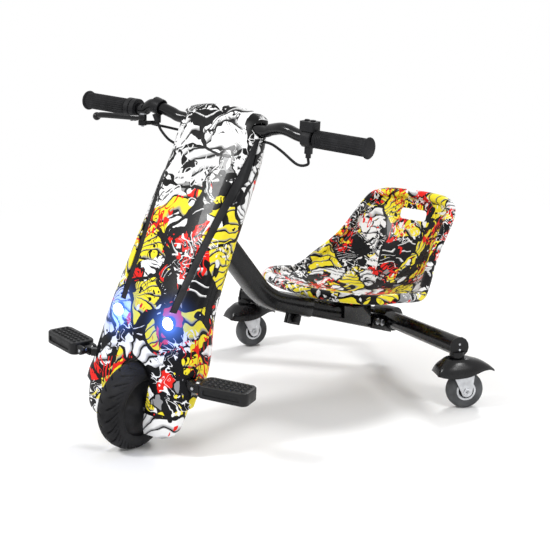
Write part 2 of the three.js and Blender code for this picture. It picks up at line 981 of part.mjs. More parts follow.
// Stem: a collar on the column and an arm up to the clamp round the bar
function stem() {
  const collar = rod('z', stemRadius, columnTop - stemBottom)
    .translate(0, 0, (columnTop + stemBottom) / 2);
  const foot = new THREE.Vector3(0, 0, columnTop - stemRadius);
  const head = barAt(0).applyMatrix4(uprightToRaked);
  const line = head.clone().sub(foot);
  const arm = box(stemArmSize, stemArmSize, line.length())
    .rotateX(Math.atan2(-line.y, line.z))
    .translate(0, (foot.y + head.y) / 2, (foot.z + head.z) / 2);
  const clamp = rod('x', barClampRadius, 2 * barClampHalfWidth).translate(0, head.y, head.z);
  const bore = rod('z', boreRadius(columnRadius), 2 * columnTop);
  const solid = join(cut(join(collar, arm), bore), clamp);
  const lid = rod('z', columnRadius + 2 * gap, 2 * gap).translate(0, 0, columnTop);
  return cut(solid, lid, barRoom());
}

// The bar's room in the stem's clamp, seen from the raked frame
function barRoom() {
  const reach = 2 * barClampHalfWidth;
  const path = new THREE.LineCurve3(barAt(-reach), barAt(reach));
  return sweep(roundSection(boreRadius(barRadius + 2 * gap, smallSides), smallSides), path, 1)
    .applyMatrix4(uprightToRaked);
}

// A grip is a closed cup over the end of the bar
function gripRows(ribs) {
  const length = barHalfLength + gap + gripEndWall - gripInner;
  const flangeStart = length - gripFlange;
  const bore = boreRadius(barRadius, gripSides);
  const chamfer = gripEndWall / 2;
  const rows = [[bore, length - gripEndWall], [bore, 0], [gripRadius, 0]];
  const ribStart = collarWidth + housingGroove;
  rows.push([gripRadius + gripRibHeight, housingGroove], [gripRadius + gripRibHeight, collarWidth]);
  const pitch = (flangeStart - chamfer - ribStart) / ribs;
  for (let i = 0; i < ribs; i += 1) {
    rows.push([gripRadius - gripRibHeight, ribStart + i * pitch]);
    rows.push([gripRadius, ribStart + (i + 0.5) * pitch]);
  }
  rows.push([gripRadius, flangeStart - chamfer], [gripEndRadius, flangeStart]);
  rows.push([gripEndRadius, length - chamfer], [gripEndRadius - chamfer, length]);
  return [[0, length - gripEndWall], ...rows, [0, length]];
}

function grip(side) {
  const geometry = lathe('x', gripRows(gripRibs), gripSides);
  if (side < 0) geometry.rotateY(Math.PI);
  return geometry.translate(side * gripInner, barY, barZ);
}

// Throttle housing: two rings with a groove between, and a lobe below
function throttleHousing() {
  const length = gripInner - gap - housingInner;
  const place = -(housingInner + length / 2);
  const rings = rod('x', housingRadius, length);
  const groove = ring('x', housingRadius - housingGroove, 2 * housingRadius, housingGroove);
  const lobeLength = length * housingLobeShare;
  const lobe = rod('x', housingBulge / 2, lobeLength)
    .translate((length - lobeLength) / 2, 0, -housingRadius);
  const bore = rod('x', boreRadius(barRadius), 2 * length);
  const shape = cut(join(cut(rings, groove), lobe), bore);
  return shape.translate(place, barY, barZ);
}

// Brake perch on the right of the bar, its pivot boss and cable barrel
const pivot = new THREE.Vector3(-pivotX, pivotY, pivotZ);

function brakePerch() {
  const seat = barAt(-perchX);
  const clamp = rod('x', perchRadius, perchWidth).rotateY(perchTilt)
    .translate(seat.x, seat.y, seat.z);
  const bossZ = pivotZ - leverWidth / 2 - 4 * gap - pivotRadius / 2;
  const bossAt = new THREE.Vector3(pivot.x, pivot.y, bossZ);
  const boss = rod('z', pivotRadius, pivotRadius).translate(...bossAt.toArray());
  const arm = rodBetween(bossAt, new THREE.Vector3(seat.x, seat.y, bossZ), pivotRadius / 2);
  const drop = rodBetween(new THREE.Vector3(seat.x, seat.y, bossZ), seat, perchNeckRadius);
  const start = new THREE.Vector3(...brakeRoute[0]);
  const next = new THREE.Vector3(...brakeRoute[1]);
  const back = start.clone().sub(next).normalize();
  const barrel = rodBetween(
    start.clone().addScaledVector(back, gap),
    start.clone().addScaledVector(back, 2 * pivotRadius),
    2 * cableRadius,
  );
  const bore = rod('x', boreRadius(barRadius + 6 * gap), 2 * perchWidth).rotateY(perchTilt)
    .translate(seat.x, seat.y, seat.z);
  const pinHole = rod('z', pinRadius + gap, 3 * pivotRadius).translate(pivot.x, pivot.y, bossZ);
  return cut(join(clamp, boss, arm, drop, barrel), bore, pinHole);
}

function brakeLever() {
  const ball = new THREE.Vector3(-leverBallX, leverBallY, leverBallZ);
  const along = (share, forward) => new THREE.Vector3(
    mix(pivot.x, ball.x, share),
    mix(pivot.y, ball.y, share) - forward,
    mix(pivot.z, ball.z, share),
  );
  const bow = leverThickness / 2;
  const bends = leverBends.map((share) => along(share, bow));
  const path = new THREE.CatmullRomCurve3([pivot, ...bends, ball]);
  const section = roundedRectangle(leverWidth, leverThickness, leverThickness / 3, 2);
  const blade = sweep(section, path, smallSides);
  const knob = new THREE.SphereGeometry(leverBallRadius, smallSides, 6)
    .translate(...ball.toArray());
  const eye = rod('z', pivotRadius, leverWidth).translate(...pivot.toArray());
  const hole = rod('z', pinRadius + gap, 2 * leverWidth).translate(...pivot.toArray());
  return cut(join(blade, knob, eye), hole);
}

function leverPin() {
  const head = pinRadius;
  const top = pivotZ + leverWidth / 2 + gap;
  const bottom = pivotZ - leverWidth / 2 - gap - pinTail;
  const shank = rod('z', pinRadius, top - bottom + overrun / 2, smallSides)
    .translate(pivot.x, pivot.y, (top + bottom + overrun / 2) / 2);
  const cap = rod('z', pinHeadRadius, head, smallSides)
    .translate(pivot.x, pivot.y, top + head / 2);
  return join(shank, cap);
}

// Switch pod on the left: ring, box with two button wells, tab and sleeve
const podX = (podInner + podOuter) / 2;
const podBoxZ = barZ + podRadius + podBoxHeight / 2 - overrun;

function switchPod() {
  const body = rod('x', podRadius, podOuter - podInner).translate(podX, barY, barZ);
  const housing = slab(roundedRectangle(podBoxWidth, podBoxDepth, overrun), podBoxHeight)
    .translate(podX, barY, podBoxZ);
  const tab = box(podTabWidth, podTabDepth, podTabHeight)
    .translate(podX, barY, barZ - podRadius - podTabHeight / 2 + overrun);
  const start = new THREE.Vector3(...switchRoute[0]);
  const sleeve = rodBetween(
    start.clone().setZ(start.z + 2 * gap),
    start.clone().setZ(start.z + podTabHeight),
    2 * cableRadius,
  );
  const bore = rod('x', boreRadius(barRadius), 2 * podBoxWidth).translate(podX, barY, barZ);
  const wells = sides.map((side) => rod('z', buttonRadius + gap, 2 * buttonWell())
    .translate(buttonX(side), barY, podBoxZ + podBoxHeight / 2));
  return cut(join(body, housing, tab, sleeve), bore, ...wells);
}

function buttonWell() {
  return buttonHeight - buttonProud + gap + buttonTravel;
}

function buttonX(side) {
  return podX + side * buttonSpacing / 2;
}

function podButton(side) {
  const middle = podBoxZ + podBoxHeight / 2 + buttonProud - buttonHeight / 2;
  return rod('z', buttonRadius, buttonHeight).translate(buttonX(side), barY, middle);
}

// Cables: the points of each route, from the hand control into the shell
const brakeRoute = [
  [-137, -181, 562],
  [-131, -178, 547],
  [-117, -171, 530],
  [-100, -165, 522],
  [-84, -162, 518],
];
const throttleRoute = [
  [-196, -169, 559],
  [-168, -162, 552],
  [-138, -154, 549],
  [-112, -150, 547],
  [-84, -149, 546],
];
const switchRoute = [
  [207, -169, 542],
  [206.5, -169, 531],
  [182, -166, 527],
  [142, -158, 543],
  [112, -152, 552],
  [84, -150, 553],
];

function cable(route, radius = cableRadius) {
  return sweep(roundSection(radius, cableSides), pathThrough(route), cableSteps);
}

function cableHoles() {
  return [brakeRoute, throttleRoute, switchRoute].map((route) => cable(route, cableRadius + gap));
}

// Foot pegs: each peg lies along its own X from the hinge at its inner end
function pegBody() {
  const length = pegEnd - pegStart;
  const shape = roundedRectangle(length, pegWidth, pegCorner);
  const plate = new THREE.ExtrudeGeometry(shape, {
    depth: pegThickness - 2 * pegBevel,
    bevelThickness: pegBevel,
    bevelSize: pegBevel,
    bevelOffset: -pegBevel,
    bevelSegments: 1,
  }).translate(pegStart + length / 2, 0, pegBevel - pegThickness / 2);
  const lugAt = (pegKnuckleWidth + pegLugWidth) / 2 + gap;
  const lugs = sides.flatMap((side) => [
    rod('y', pegKnuckleRadius, pegLugWidth, smallSides).translate(0, side * lugAt, 0),
    box(2 * pegStart, pegLugWidth, 2 * pegKnuckleRadius)
      .translate(pegStart, side * lugAt, 0),
  ]);
  const pinHole = rod('y', pinRadius + gap, pegWidth, smallSides);
  const panels = sides.map((side) => slab(
    roundedRectangle(pegPanelLength, pegPanelHeight, pegPanelHeight / 3, 2),
    2 * pegPanelDepth,
  ).rotateX(Math.PI / 2).translate(pegStart + length / 2, side * pegWidth / 2, 0));
  return cut(join(plate, ...lugs, ...pegStuds()), pinHole, ...panels);
}

function pegStuds() {
  const studs = [];
  const across = pegWidth - 2 * pegCorner;
  const along = pegEnd - pegStart - 2 * pegCorner;
  for (let i = 0; i < studColumns; i += 1) {
    for (let j = 0; j < studRows; j += 1) {
      const x = pegStart + pegCorner + along * i / (studColumns - 1);
      const y = across * (j / (studRows - 1) - 0.5);
      studs.push(rod('z', studRadius, 2 * studHeight, 6).translate(x, y, pegThickness / 2));
    }
  }
  return studs;
}

function pegTurn(side) {
  return side > 0 ? pegSweep : Math.PI - pegSweep;
}

function bracketArm(side, grow) {
  const inner = new THREE.Vector3(side * bracketInnerX(), bracketPadY, pegHingeZ);
  const hinge = new THREE.Vector3(side * pegHingeX, pegHingeY, pegHingeZ);
  const inward = new THREE.Vector3(-side * Math.cos(pegSweep), -Math.sin(pegSweep), 0);
  const outer = hinge.clone().addScaledVector(inward, bracketNeck);
  const thickness = bracketArmThickness + 2 * grow;
  const height = bracketArmHeight + 2 * grow;
  return join(
    levelBarBetween(inner, outer, thickness, height),
    levelBarBetween(outer.clone().addScaledVector(inward, grow), hinge, thickness, height),
  );
}

function bracketInnerX() {
  return bladeX + bladeThickness + gap + bracketPadThickness / 2;
}

// Bracket: a pad against the fork blade, an arm through the shell, a knuckle
function pegBracket(side) {
  const pad = box(bracketPadThickness, bracketPadWidth, bracketPadHeight)
    .translate(side * bracketInnerX(), bracketPadY, pegHingeZ);
  const knuckle = rod('y', pegKnuckleRadius, pegKnuckleWidth, smallSides)
    .rotateZ(pegTurn(side)).translate(side * pegHingeX, pegHingeY, pegHingeZ);
  const pinHole = rod('y', pinRadius + gap, pegWidth, smallSides)
    .rotateZ(pegTurn(side)).translate(side * pegHingeX, pegHingeY, pegHingeZ);
  return cut(join(pad, bracketArm(side, 0), knuckle), pinHole);
}

function pegPin() {
  return rod('y', pinRadius, 2 * pegPinHalfLength, smallSides);
}

// Rear leg of the frame: its own Y runs along the leg from the sleeve's mouth
const legSlope = Math.atan2(kneeZ - mouthZ, mouthY - kneeY);
const legFrame = new THREE.Matrix4().makeRotationX(-legSlope).setPosition(0, mouthY, mouthZ);

function squareAlongLeg(size, corner, from, to) {
  const geometry = slab(roundedRectangle(size, size, corner), to - from);
  return geometry.rotateX(Math.PI / 2).translate(0, (from + to) / 2, 0);
}

// Main tube: head tube, cranked square tube, sleeve bore and clamp lugs
function mainFrame() {
  const head = onRake(0, 0, headCentre);
  const knee = new THREE.Vector3(0, kneeY, kneeZ);
  const mouth = new THREE.Vector3(0, mouthY, mouthZ);
  const toward = (place) => knee.clone()
    .addScaledVector(place.clone().sub(knee).normalize(), kneeBlend);
  const path = new THREE.CurvePath();
  path.add(new THREE.LineCurve3(head, toward(head)));
  path.add(new THREE.QuadraticBezierCurve3(toward(head), knee, toward(mouth)));
  path.add(new THREE.LineCurve3(toward(mouth), mouth));
  const tube = sweep(roundedRectangle(tubeSize, tubeSize, tubeCorner), path, roundSides);
  const headTube = rod('z', headRadius, headLength)
    .translate(0, 0, headCentre).applyMatrix4(rakedFrame);
  const headBore = rod('z', columnRadius + overrun, 2 * headLength)
    .translate(0, 0, headCentre).applyMatrix4(rakedFrame);
  const lugs = box(lugWidth, lugDepth, lugHeight)
    .translate(0, -lugBack, -(tubeSize + lugHeight) / 2 + overrun).applyMatrix4(legFrame);
  const bore = squareAlongLeg(slideSize + 2 * gap, slideCorner, -slideInsert - 2 * gap, overrun)
    .applyMatrix4(legFrame);
  const slit = box(lugSlit, lugBack + lugDepth, tubeSize + 2 * lugHeight)
    .translate(0, -(lugBack + lugDepth) / 2 + overrun, -tubeSize / 2 - lugHeight)
    .applyMatrix4(legFrame);
  const boltHole = rod('x', clampBoltRadius + gap, 2 * tubeSize)
    .translate(0, -lugBack, clampBoltZ()).applyMatrix4(legFrame);
  return cut(join(tube, headTube, lugs), headBore, bore, slit, boltHole);
}

function clampBoltZ() {
  return -tubeSize / 2 - lugHeight / 2 + overrun - gap;
}

function clampBolt() {
  const half = lugWidth / 2 + gap;
  const shank = rod('x', clampBoltRadius, 2 * half + overrun, smallSides);
  const knob = rod('x', clampKnobRadius, clampKnobWidth, smallSides)
    .translate(half + clampKnobWidth / 2, 0, 0);
  const nut = rod('x', clampNutRadius, clampBoltRadius, 6)
    .translate(-half - clampBoltRadius / 2, 0, 0);
  return join(shank, knob, nut)
    .translate(0, -lugBack, clampBoltZ()).applyMatrix4(legFrame);
}

// Slide tube: the thinner tube under the seat that sets the frame's length
function slideTube() {
  const outer = squareAlongLeg(slideSize, slideCorner, -slideInsert, slideLength);
  const inner = squareAlongLeg(
    slideSize - 2 * slideWall,
    slideCorner - slideWall / 2,
    -slideInsert - overrun,
    slideLength + overrun,
  );
  const holes = yokeBoltPlaces().map((y) => rod('x', yokeBoltRadius + gap, 2 * slideSize, smallSides)
    .translate(0, y, 0));
  const tube = cut(outer, inner, ...holes).applyMatrix4(legFrame);
  return cut(tube, crossbarArms(gap));
}

// Swept rear crossbar: two round arms that meet inside the yoke
const apex = new THREE.Vector3(0, apexY, apexZ);

function armEnd(side) {
  return new THREE.Vector3(side * armEndX, armEndY, armEndZ);
}

function crossbarArms(grow) {
  const arms = sides.map((side) => rodBetween(apex, armEnd(side), armRadius + grow, roundSides));
  const knot = new THREE.SphereGeometry(armRadius + grow, roundSides, smallSides)
    .translate(...apex.toArray());
  return join(...arms, knot);
}

function socket(side, grow) {
  const tall = socketTop - socketBottom;
  return rod('z', socketRadius + grow, tall + 2 * grow)
    .translate(side * stemX, stemY, (socketTop + socketBottom) / 2);
}

function crossbar() {
  const bores = sides.map((side) => rod('z', casterStemRadius + gap, 2 * stemBoreDepth)
    .translate(side * stemX, stemY, socketBottom));
  return cut(join(crossbarArms(0), ...sides.map((side) => socket(side, 0))), ...bores);
}

const stemBoreDepth = casterStemTop + gap - socketBottom;

function endCap(side) {
  const end = armEnd(side);
  const out = end.clone().sub(apex).normalize();
  const inner = end.clone().addScaledVector(out, gap);
  const outer = inner.clone().addScaledVector(out, capThickness);
  const disc = rodBetween(inner, outer, armRadius + capLip, roundSides);
  return cut(disc, socket(side, gap));
}

// Yoke: a ring round the crossbar's middle and two plates beside the slide tube
function apexOnLeg() {
  return apex.clone().applyMatrix4(legFrame.clone().invert());
}

function yokeBoltPlaces() {
  const first = apexOnLeg().y - yokeBoltBack;
  return [first, first + yokeBoltSpacing];
}

function yoke() {
  const centre = apexOnLeg();
  const band = rod('x', yokeRadius, 2 * yokeHalfWidth).translate(0, centre.y, centre.z);
  const plateX = slideSize / 2 + gap + yokePlate / 2;
  const plates = sides.map((side) => box(yokePlate, yokePlateLength, yokePlateHeight)
    .translate(side * plateX, centre.y - yokePlateLength / 2, 0));
  const room = squareAlongLeg(slideSize + 2 * gap, slideCorner, 0, slideLength + 2 * gap);
  const holes = yokeBoltPlaces().map((y) => rod('x', yokeBoltRadius + gap, 2 * yokeRadius, smallSides)
    .translate(0, y, 0));
  const shape = cut(join(band, ...plates), room, ...holes).applyMatrix4(legFrame);
  return cut(shape, crossbarArms(gap));
}

function yokeBolt(place) {
  const half = slideSize / 2 + 2 * gap + yokePlate;
  const shank = rod('x', yokeBoltRadius, 2 * half + overrun, smallSides);
  const heads = sides.map((side) => rod('x', yokeHeadRadius, yokeHeadWidth, 6)
    .translate(side * (half + yokeHeadWidth / 2), 0, 0));
  return join(shank, ...heads).translate(0, place, 0).applyMatrix4(legFrame);
}

// Casters: each lies in its own frame with the stem at the origin and the
// wheel trailing along +Y
function casterFork() {
  const halfGap = casterWidth / 2 + casterClearance;
  const plates = sides.map((side) => sidePrism([
    [trail - 2 * casterAxleRadius, casterRadius - 2 * casterAxleRadius],
    [trail + 2 * casterAxleRadius, casterRadius - 2 * casterAxleRadius],
    [casterPlateDepth / 2, casterCrown],
    [-casterPlateDepth / 2, casterCrown],
  ], casterPlate).translate(side * (halfGap + casterPlate / 2), 0, 0));
  const crown = box(2 * (halfGap + casterPlate), casterPlateDepth, casterPlate)
    .translate(0, 0, casterCrown);
  const bossTall = casterBossTop - casterCrown;
  const boss = rod('z', casterBossRadius, bossTall).translate(0, 0, casterCrown + bossTall / 2);
  const stemTall = casterStemTop - casterCrown;
  const shank = rod('z', casterStemRadius, stemTall, smallSides)
    .translate(0, 0, casterCrown + stemTall / 2);
  const axle = rod('x', casterAxleRadius, 2 * (halfGap + 2 * casterPlate), smallSides)
    .translate(0, trail, casterRadius);
  return join(...plates, crown, boss, shank, axle);
}

function fenderBody(inset) {
  const length = fenderFront + fenderBack;
  const rings = fenderShares.map(([along, across, up]) => {
    const y = -fenderFront + inset + along * (length - 2 * inset);
    const half = across * fenderHalfWidth - inset * Math.min(across + 0.3, 1);
    const tall = up * fenderHeight - inset;
    const foot = inset > 0 ? fenderBottom - overrun : fenderBottom;
    const points = [];
    for (let i = 0; i <= fenderRingPoints; i += 1) {
      const turn = (i / fenderRingPoints) * Math.PI;
      const x = half * Math.sign(Math.cos(turn)) * Math.abs(Math.cos(turn)) ** fenderPower;
      const z = fenderBottom + tall * Math.sin(turn) ** fenderPower;
      const level = i === 0 || i === fenderRingPoints ? foot : z;
      points.push(new THREE.Vector3(x, y, level));
    }
    return points;
  });
  return loft(rings);
}

function fender() {
  const hole = rod('z', casterBossRadius + gap, 4 * fenderHeight).translate(0, 0, fenderBottom);
  return cut(fenderBody(0), fenderBody(fenderWall), hole);
}

function casterRim() {
  const half = casterWidth / 2 - gap;
  const bore = boreRadius(casterAxleRadius);
  const dish = half * 0.55;
  return lathe('x', [
    [bore, -half - casterClearance / 2],
    [casterHubRadius, -half - casterClearance / 2],
    [casterHubRadius, -dish],
    [casterRimRadius * 0.8, -dish],
    [casterRimRadius * 0.87, -half],
    [casterRimRadius, -half],
    [casterRimRadius, half],
    [casterRimRadius * 0.87, half],
    [casterRimRadius * 0.8, dish],
    [casterHubRadius, dish],
    [casterHubRadius, half + casterClearance / 2],
    [bore, half + casterClearance / 2],
    [bore, -half - casterClearance / 2],
  ], roundSides + 4);
}

function casterTyre() {
  const half = casterWidth / 2;
  const inner = casterRimRadius + gap;
  const wall = casterRadius - inner;
  return lathe('x', [
    [inner, -half],
    [inner + wall * 0.55, -half],
    [casterRadius - wall * 0.12, -half * 0.72],
    [casterRadius, -half * 0.35],
    [casterRadius, half * 0.35],
    [casterRadius - wall * 0.12, half * 0.72],
    [inner + wall * 0.55, half],
    [inner, half],
    [inner, -half],
  ], roundSides + 12);
}

// Seat: a skin between its middle line and its rim, with a rolled edge
function seatPoint(place, across) {
  const [middleY, middleZ] = rowAt(seatMiddleShares, place);
  const [rimX, rimY, rimZ] = rowAt(seatRimShares, place);
  const blend = Math.abs(across) ** seatBulge;
  return new THREE.Vector3(
    across * rimX * seatHalfWidth,
    seatFrontY + mix(middleY, rimY, blend) * seatLength,
    seatFloorZ + mix(middleZ, rimZ, blend) * seatRise,
  );
}

function seatNormal(place, across) {
  const step = 1 / (2 * seatRows);
  const low = (value, least) => Math.max(value - step, least);
  const high = (value) => Math.min(value + step, 1);
  const along = seatPoint(high(place), across).sub(seatPoint(low(place, 0), across));
  const aside = seatPoint(place, high(across)).sub(seatPoint(place, low(across, -1)));
  return aside.cross(along).normalize();
}

function seatSkin(thickness) {
  const places = [];
  const faces = [];
  const wide = seatColumns + 1;
  const layer = wide * (seatRows + 1);
  [0, thickness].forEach((depth) => {
    for (let r = 0; r <= seatRows; r += 1) {
      for (let c = 0; c <= seatColumns; c += 1) {
        const at = [r / seatRows, (2 * c) / seatColumns - 1];
        places.push(seatPoint(...at).addScaledVector(seatNormal(...at), -depth));
      }
    }
  });
  const quad = (a, b, c, d) => faces.push(a, b, c, a, c, d);
  for (let r = 0; r < seatRows; r += 1) {
    for (let c = 0; c < seatColumns; c += 1) {
      const a = r * wide + c;
      quad(a, a + 1, a + wide + 1, a + wide);
      quad(a + layer, a + layer + wide, a + layer + wide + 1, a + layer + 1);
    }
  }
  const edge = seatEdge();
  edge.forEach((a, i) => {
    const b = edge[(i + 1) % edge.length];
    quad(b, a, a + layer, b + layer);
  });
  const geometry = new THREE.BufferGeometry().setFromPoints(places);
  return geometry.setIndex(faces);
}

// Numbers of the skin's corners all the way round its edge
function seatEdge() {
  const wide = seatColumns + 1;
  const edge = [];
  for (let c = 0; c < seatColumns; c += 1) edge.push(c);
  for (let r = 0; r < seatRows; r += 1) edge.push(r * wide + seatColumns);
  for (let c = seatColumns; c > 0; c -= 1) edge.push(seatRows * wide + c);
  for (let r = seatRows; r > 0; r -= 1) edge.push(r * wide);
  return edge;
}

function seatRim() {
  const wide = seatColumns + 1;
  const centres = seatEdge().map((id) => {
    const at = [Math.floor(id / wide) / seatRows, (2 * (id % wide)) / seatColumns - 1];
    return seatPoint(...at).addScaledVector(seatNormal(...at), -seatWall / 2);
  });
  const middle = new THREE.Vector3(0, seatFrontY + seatLength / 2, seatFloorZ + seatRise / 2);
  const places = [];
  const faces = [];
  centres.forEach((centre, i) => {
    const before = centres[(i + centres.length - 1) % centres.length];
    const after = centres[(i + 1) % centres.length];
    const ahead = after.clone().sub(before).normalize();
    const out = centre.clone().sub(middle).cross(ahead).normalize();
    const side = ahead.clone().cross(out);
    for (let k = 0; k < seatRimSides; k += 1) {
      const turn = (k / seatRimSides) * Math.PI * 2;
      places.push(centre.clone()
        .addScaledVector(out, seatRimRadius * Math.cos(turn))
        .addScaledVector(side, seatRimRadius * Math.sin(turn)));
      const next = ((i + 1) % centres.length) * seatRimSides;
      const a = i * seatRimSides + k;
      const b = i * seatRimSides + ((k + 1) % seatRimSides);
      const [c, d] = [next + (b % seatRimSides), next + k];
      faces.push(a, b, c, a, c, d);
    }
  });
  const geometry = new THREE.BufferGeometry().setFromPoints(places);
  return geometry.setIndex(faces);
}

function seatShell() {
  const bosses = sides.flatMap((sx) => sides.map((sy) => rod('z', bossRadius, seatRise)
    .translate(
      sx * bossSpacingX / 2,
      seatPlateY + sy * bossSpacingY / 2,
      seatPlateTop + gap + seatRise / 2,
    )));
  const depth = 4 * seatWall;
  const feet = common(join(...bosses), seatSkin(depth));
  const slot = slab(roundedRectangle(2 * slotHalfWidth, slotHeight, slotHeight / 3), seatLength)
    .rotateX(Math.PI / 2)
    .translate(0, seatFrontY + seatLength, seatFloorZ + seatRise - slotBelowTop);
  return cut(join(seatSkin(seatWall), seatRim(), feet), slot);
}

// Bracket: a plate under the seat's feet and two cheeks on the slide tube
function seatBracket() {
  const plate = slab(roundedRectangle(seatPlateWidth, seatPlateLength, bossRadius), seatPlateThickness)
    .translate(0, seatPlateY, seatPlateTop - seatPlateThickness / 2);
  const tubeAt = (y) => mouthZ - (y - mouthY) * Math.tan(legSlope);
  const [front, back] = [seatPlateY - cheekLength / 2, seatPlateY + cheekLength / 2];
  const top = seatPlateTop - seatPlateThickness / 2;
  const outline = [
    [front, tubeAt(front) - cheekDrop],
    [back, tubeAt(back) - cheekDrop],
    [back, top],
    [front, top],
  ];
  const cheekX = slideSize / 2 + gap + cheekThickness / 2;
  const cheeks = sides.map((side) => sidePrism(outline, cheekThickness)
    .translate(side * cheekX, 0, 0));
  return join(plate, ...cheeks);
}

// Assembly
function add(parent, name, geometry, material) {
  const mesh = new THREE.Mesh(closed(geometry), material);
  mesh.name = name;
  parent.add(mesh);
  return mesh;
}

function groupAt(parent, x, y, z, turn = 0) {
  const group = new THREE.Group();
  group.position.set(x, y, z);
  group.rotation.z = turn;
  parent.add(group);
  return group;
}

function addShell(front) {
  add(front, 'front_cover', frontCover(), finishes.print);
  add(front, 'rear_cover', rearCover(), finishes.print);
  const inlet = groupAt(front, 0, inletY, inletZ);
  add(inlet, 'charge_inlet', chargeInlet(), finishes.blackPlastic);
  sides.forEach((side) => {
    const name = sideName[side];
    add(front, `groove_trim_${name}`, grooveTrim(side), finishes.blackPlastic);
    const lamp = groupAt(front, side * lampX, lampFaceY - lampProud, lampZ);
    const cup = add(lamp, `headlight_housing_${name}`, lampCup(), finishes.blackPlastic);
    cup.position.y = lampLength / 2;
    const lens = add(lamp, `headlight_lens_${name}`, lampLens(), finishes.lens);
    lens.position.y = lensLength / 2 - lensDome;
  });
}

function chargeInlet() {
  const body = rod('y', inletRadius, inletLength);
  const flange = rod('y', inletFlange, inletFlangeThickness)
    .translate(0, inletLength / 2 + gap + inletFlangeThickness / 2, 0);
  const neck = rod('y', inletRadius, inletLength).translate(0, inletFlangeThickness, 0);
  const bore = rod('y', inletBore, 2 * inletBoreDepth)
    .translate(0, inletLength / 2 + inletFlangeThickness, 0);
  return cut(join(body, neck, flange), bore);
}

function addRunningGear(raked) {
  add(raked, 'fork', fork(), finishes.blackPaint);
  const lockNut = ring('z', boreRadius(columnRadius), headNutRadius, headNutThickness);
  add(raked, 'headset_nut', lockNut, finishes.steel)
    .position.z = headTop() + bearingThickness + 2 * gap + headNutThickness / 2;
  add(raked, 'stem', stem(), finishes.blackPaint);
  add(raked, 'battery_pack', box(batteryWidth, batteryDepth - gap, batteryHeight), finishes.battery)
    .position.set(0, batteryY() - gap / 2, carrierBottom + ledgeThickness + gap + batteryHeight / 2);
  const controller = box(controllerWidth, controllerDepth - gap, controllerHeight);
  add(raked, 'motor_controller', controller, finishes.alloy)
    .position.set(0, controllerY() - gap / 2, controllerBottom() + controllerHeight / 2);
  const wheel = groupAt(raked, 0, -forkOffset, 0);
  add(wheel, 'front_tyre', frontTyre(), finishes.rubber);
  add(wheel, 'hub_motor', hubMotor(), finishes.alloy);
  add(wheel, 'front_axle', rod('x', axleRadius, 2 * axleHalfLength), finishes.steel);
  sides.forEach((side) => add(wheel, `axle_nut_${sideName[side]}`, axleNut(side), finishes.steel));
}

function headTop() {
  return headCentre + headLength / 2;
}

function addControls(front) {
  add(front, 'handlebar', handlebar(), finishes.blackPaint);
  add(front, 'throttle_grip', grip(-1), finishes.rubber);
  add(front, 'throttle_housing', throttleHousing(), finishes.blackPlastic);
  add(front, 'brake_perch', brakePerch(), finishes.blackPlastic);
  add(front, 'brake_lever', brakeLever(), finishes.blackPaint);
  add(front, 'lever_pin', leverPin(), finishes.steel);
  add(front, 'brake_cable', cable(brakeRoute), finishes.rubber);
  add(front, 'throttle_cable', cable(throttleRoute), finishes.rubber);
  add(front, 'left_grip', grip(1), finishes.rubber);
  add(front, 'switch_pod', switchPod(), finishes.blackPlastic);
  add(front, 'power_button', podButton(1), finishes.rubber);
  add(front, 'mode_button', podButton(-1), finishes.rubber);
  add(front, 'switch_cable', cable(switchRoute), finishes.rubber);
}

function addPegs(front) {
  sides.forEach((side) => {
    const name = sideName[side];
    add(front, `peg_bracket_${name}`, pegBracket(side), finishes.blackPaint);
    const hinge = groupAt(front, side * pegHingeX, pegHingeY, pegHingeZ, pegTurn(side));
    add(hinge, `foot_peg_${name}`, pegBody(), finishes.blackPlastic);
    add(hinge, `peg_pin_${name}`, pegPin(), finishes.steel);
  });
}

function addFrame(scooter) {
  add(scooter, 'main_frame', mainFrame(), finishes.blackPaint);
  add(scooter, 'clamp_bolt', clampBolt(), finishes.blackPlastic);
  add(scooter, 'slide_tube', slideTube(), finishes.blackPaint);
  add(scooter, 'crossbar', crossbar(), finishes.blackPaint);
  add(scooter, 'crossbar_yoke', yoke(), finishes.blackPaint);
  yokeBoltPlaces().forEach((place, i) => {
    add(scooter, `yoke_bolt_${i + 1}`, yokeBolt(place), finishes.steel);
  });
  sides.forEach((side) => {
    add(scooter, `end_cap_${sideName[side]}`, endCap(side), finishes.blackPlastic);
  });
  add(scooter, 'seat_shell', seatShell(), finishes.print);
  add(scooter, 'seat_bracket', seatBracket(), finishes.blackPaint);
}

function addBearings(raked) {
  const bearing = () => ring('z', boreRadius(columnRadius), headRadius, bearingThickness);
  const lower = add(raked, 'lower_bearing', bearing(), finishes.steel);
  lower.position.z = headCentre - headLength / 2 - gap - bearingThickness / 2;
  const upper = add(raked, 'upper_bearing', bearing(), finishes.steel);
  upper.position.z = headTop() + gap + bearingThickness / 2;
}

function addCasters(scooter) {
  sides.forEach((side) => {
    const name = sideName[side];
    const caster = groupAt(scooter, side * stemX, stemY, 0, -casterHeadings[name]);
    add(caster, `caster_fork_${name}`, casterFork(), finishes.zinc);
    add(caster, `caster_fender_${name}`, fender(), finishes.blackPaint);
    const wheel = groupAt(caster, 0, trail, casterRadius);
    add(wheel, `caster_rim_${name}`, casterRim(), finishes.zinc);
    add(wheel, `caster_tyre_${name}`, casterTyre(), finishes.greyTyre);
  });
}

function rakedGroup(parent) {
  const group = new THREE.Group();
  group.applyMatrix4(rakedFrame);
  parent.add(group);
  return group;
}

// The front group turns about the steering axis, as the photograph shows it
function steeredGroup(parent) {
  const group = new THREE.Group();
  const foot = onRake(0, 0, 0);
  const axis = onRake(0, 0, 1).sub(foot).normalize();
  group.quaternion.setFromAxisAngle(axis, steerAngle);
  group.position.copy(foot).sub(foot.clone().applyQuaternion(group.quaternion));
  parent.add(group);
  return group;
}

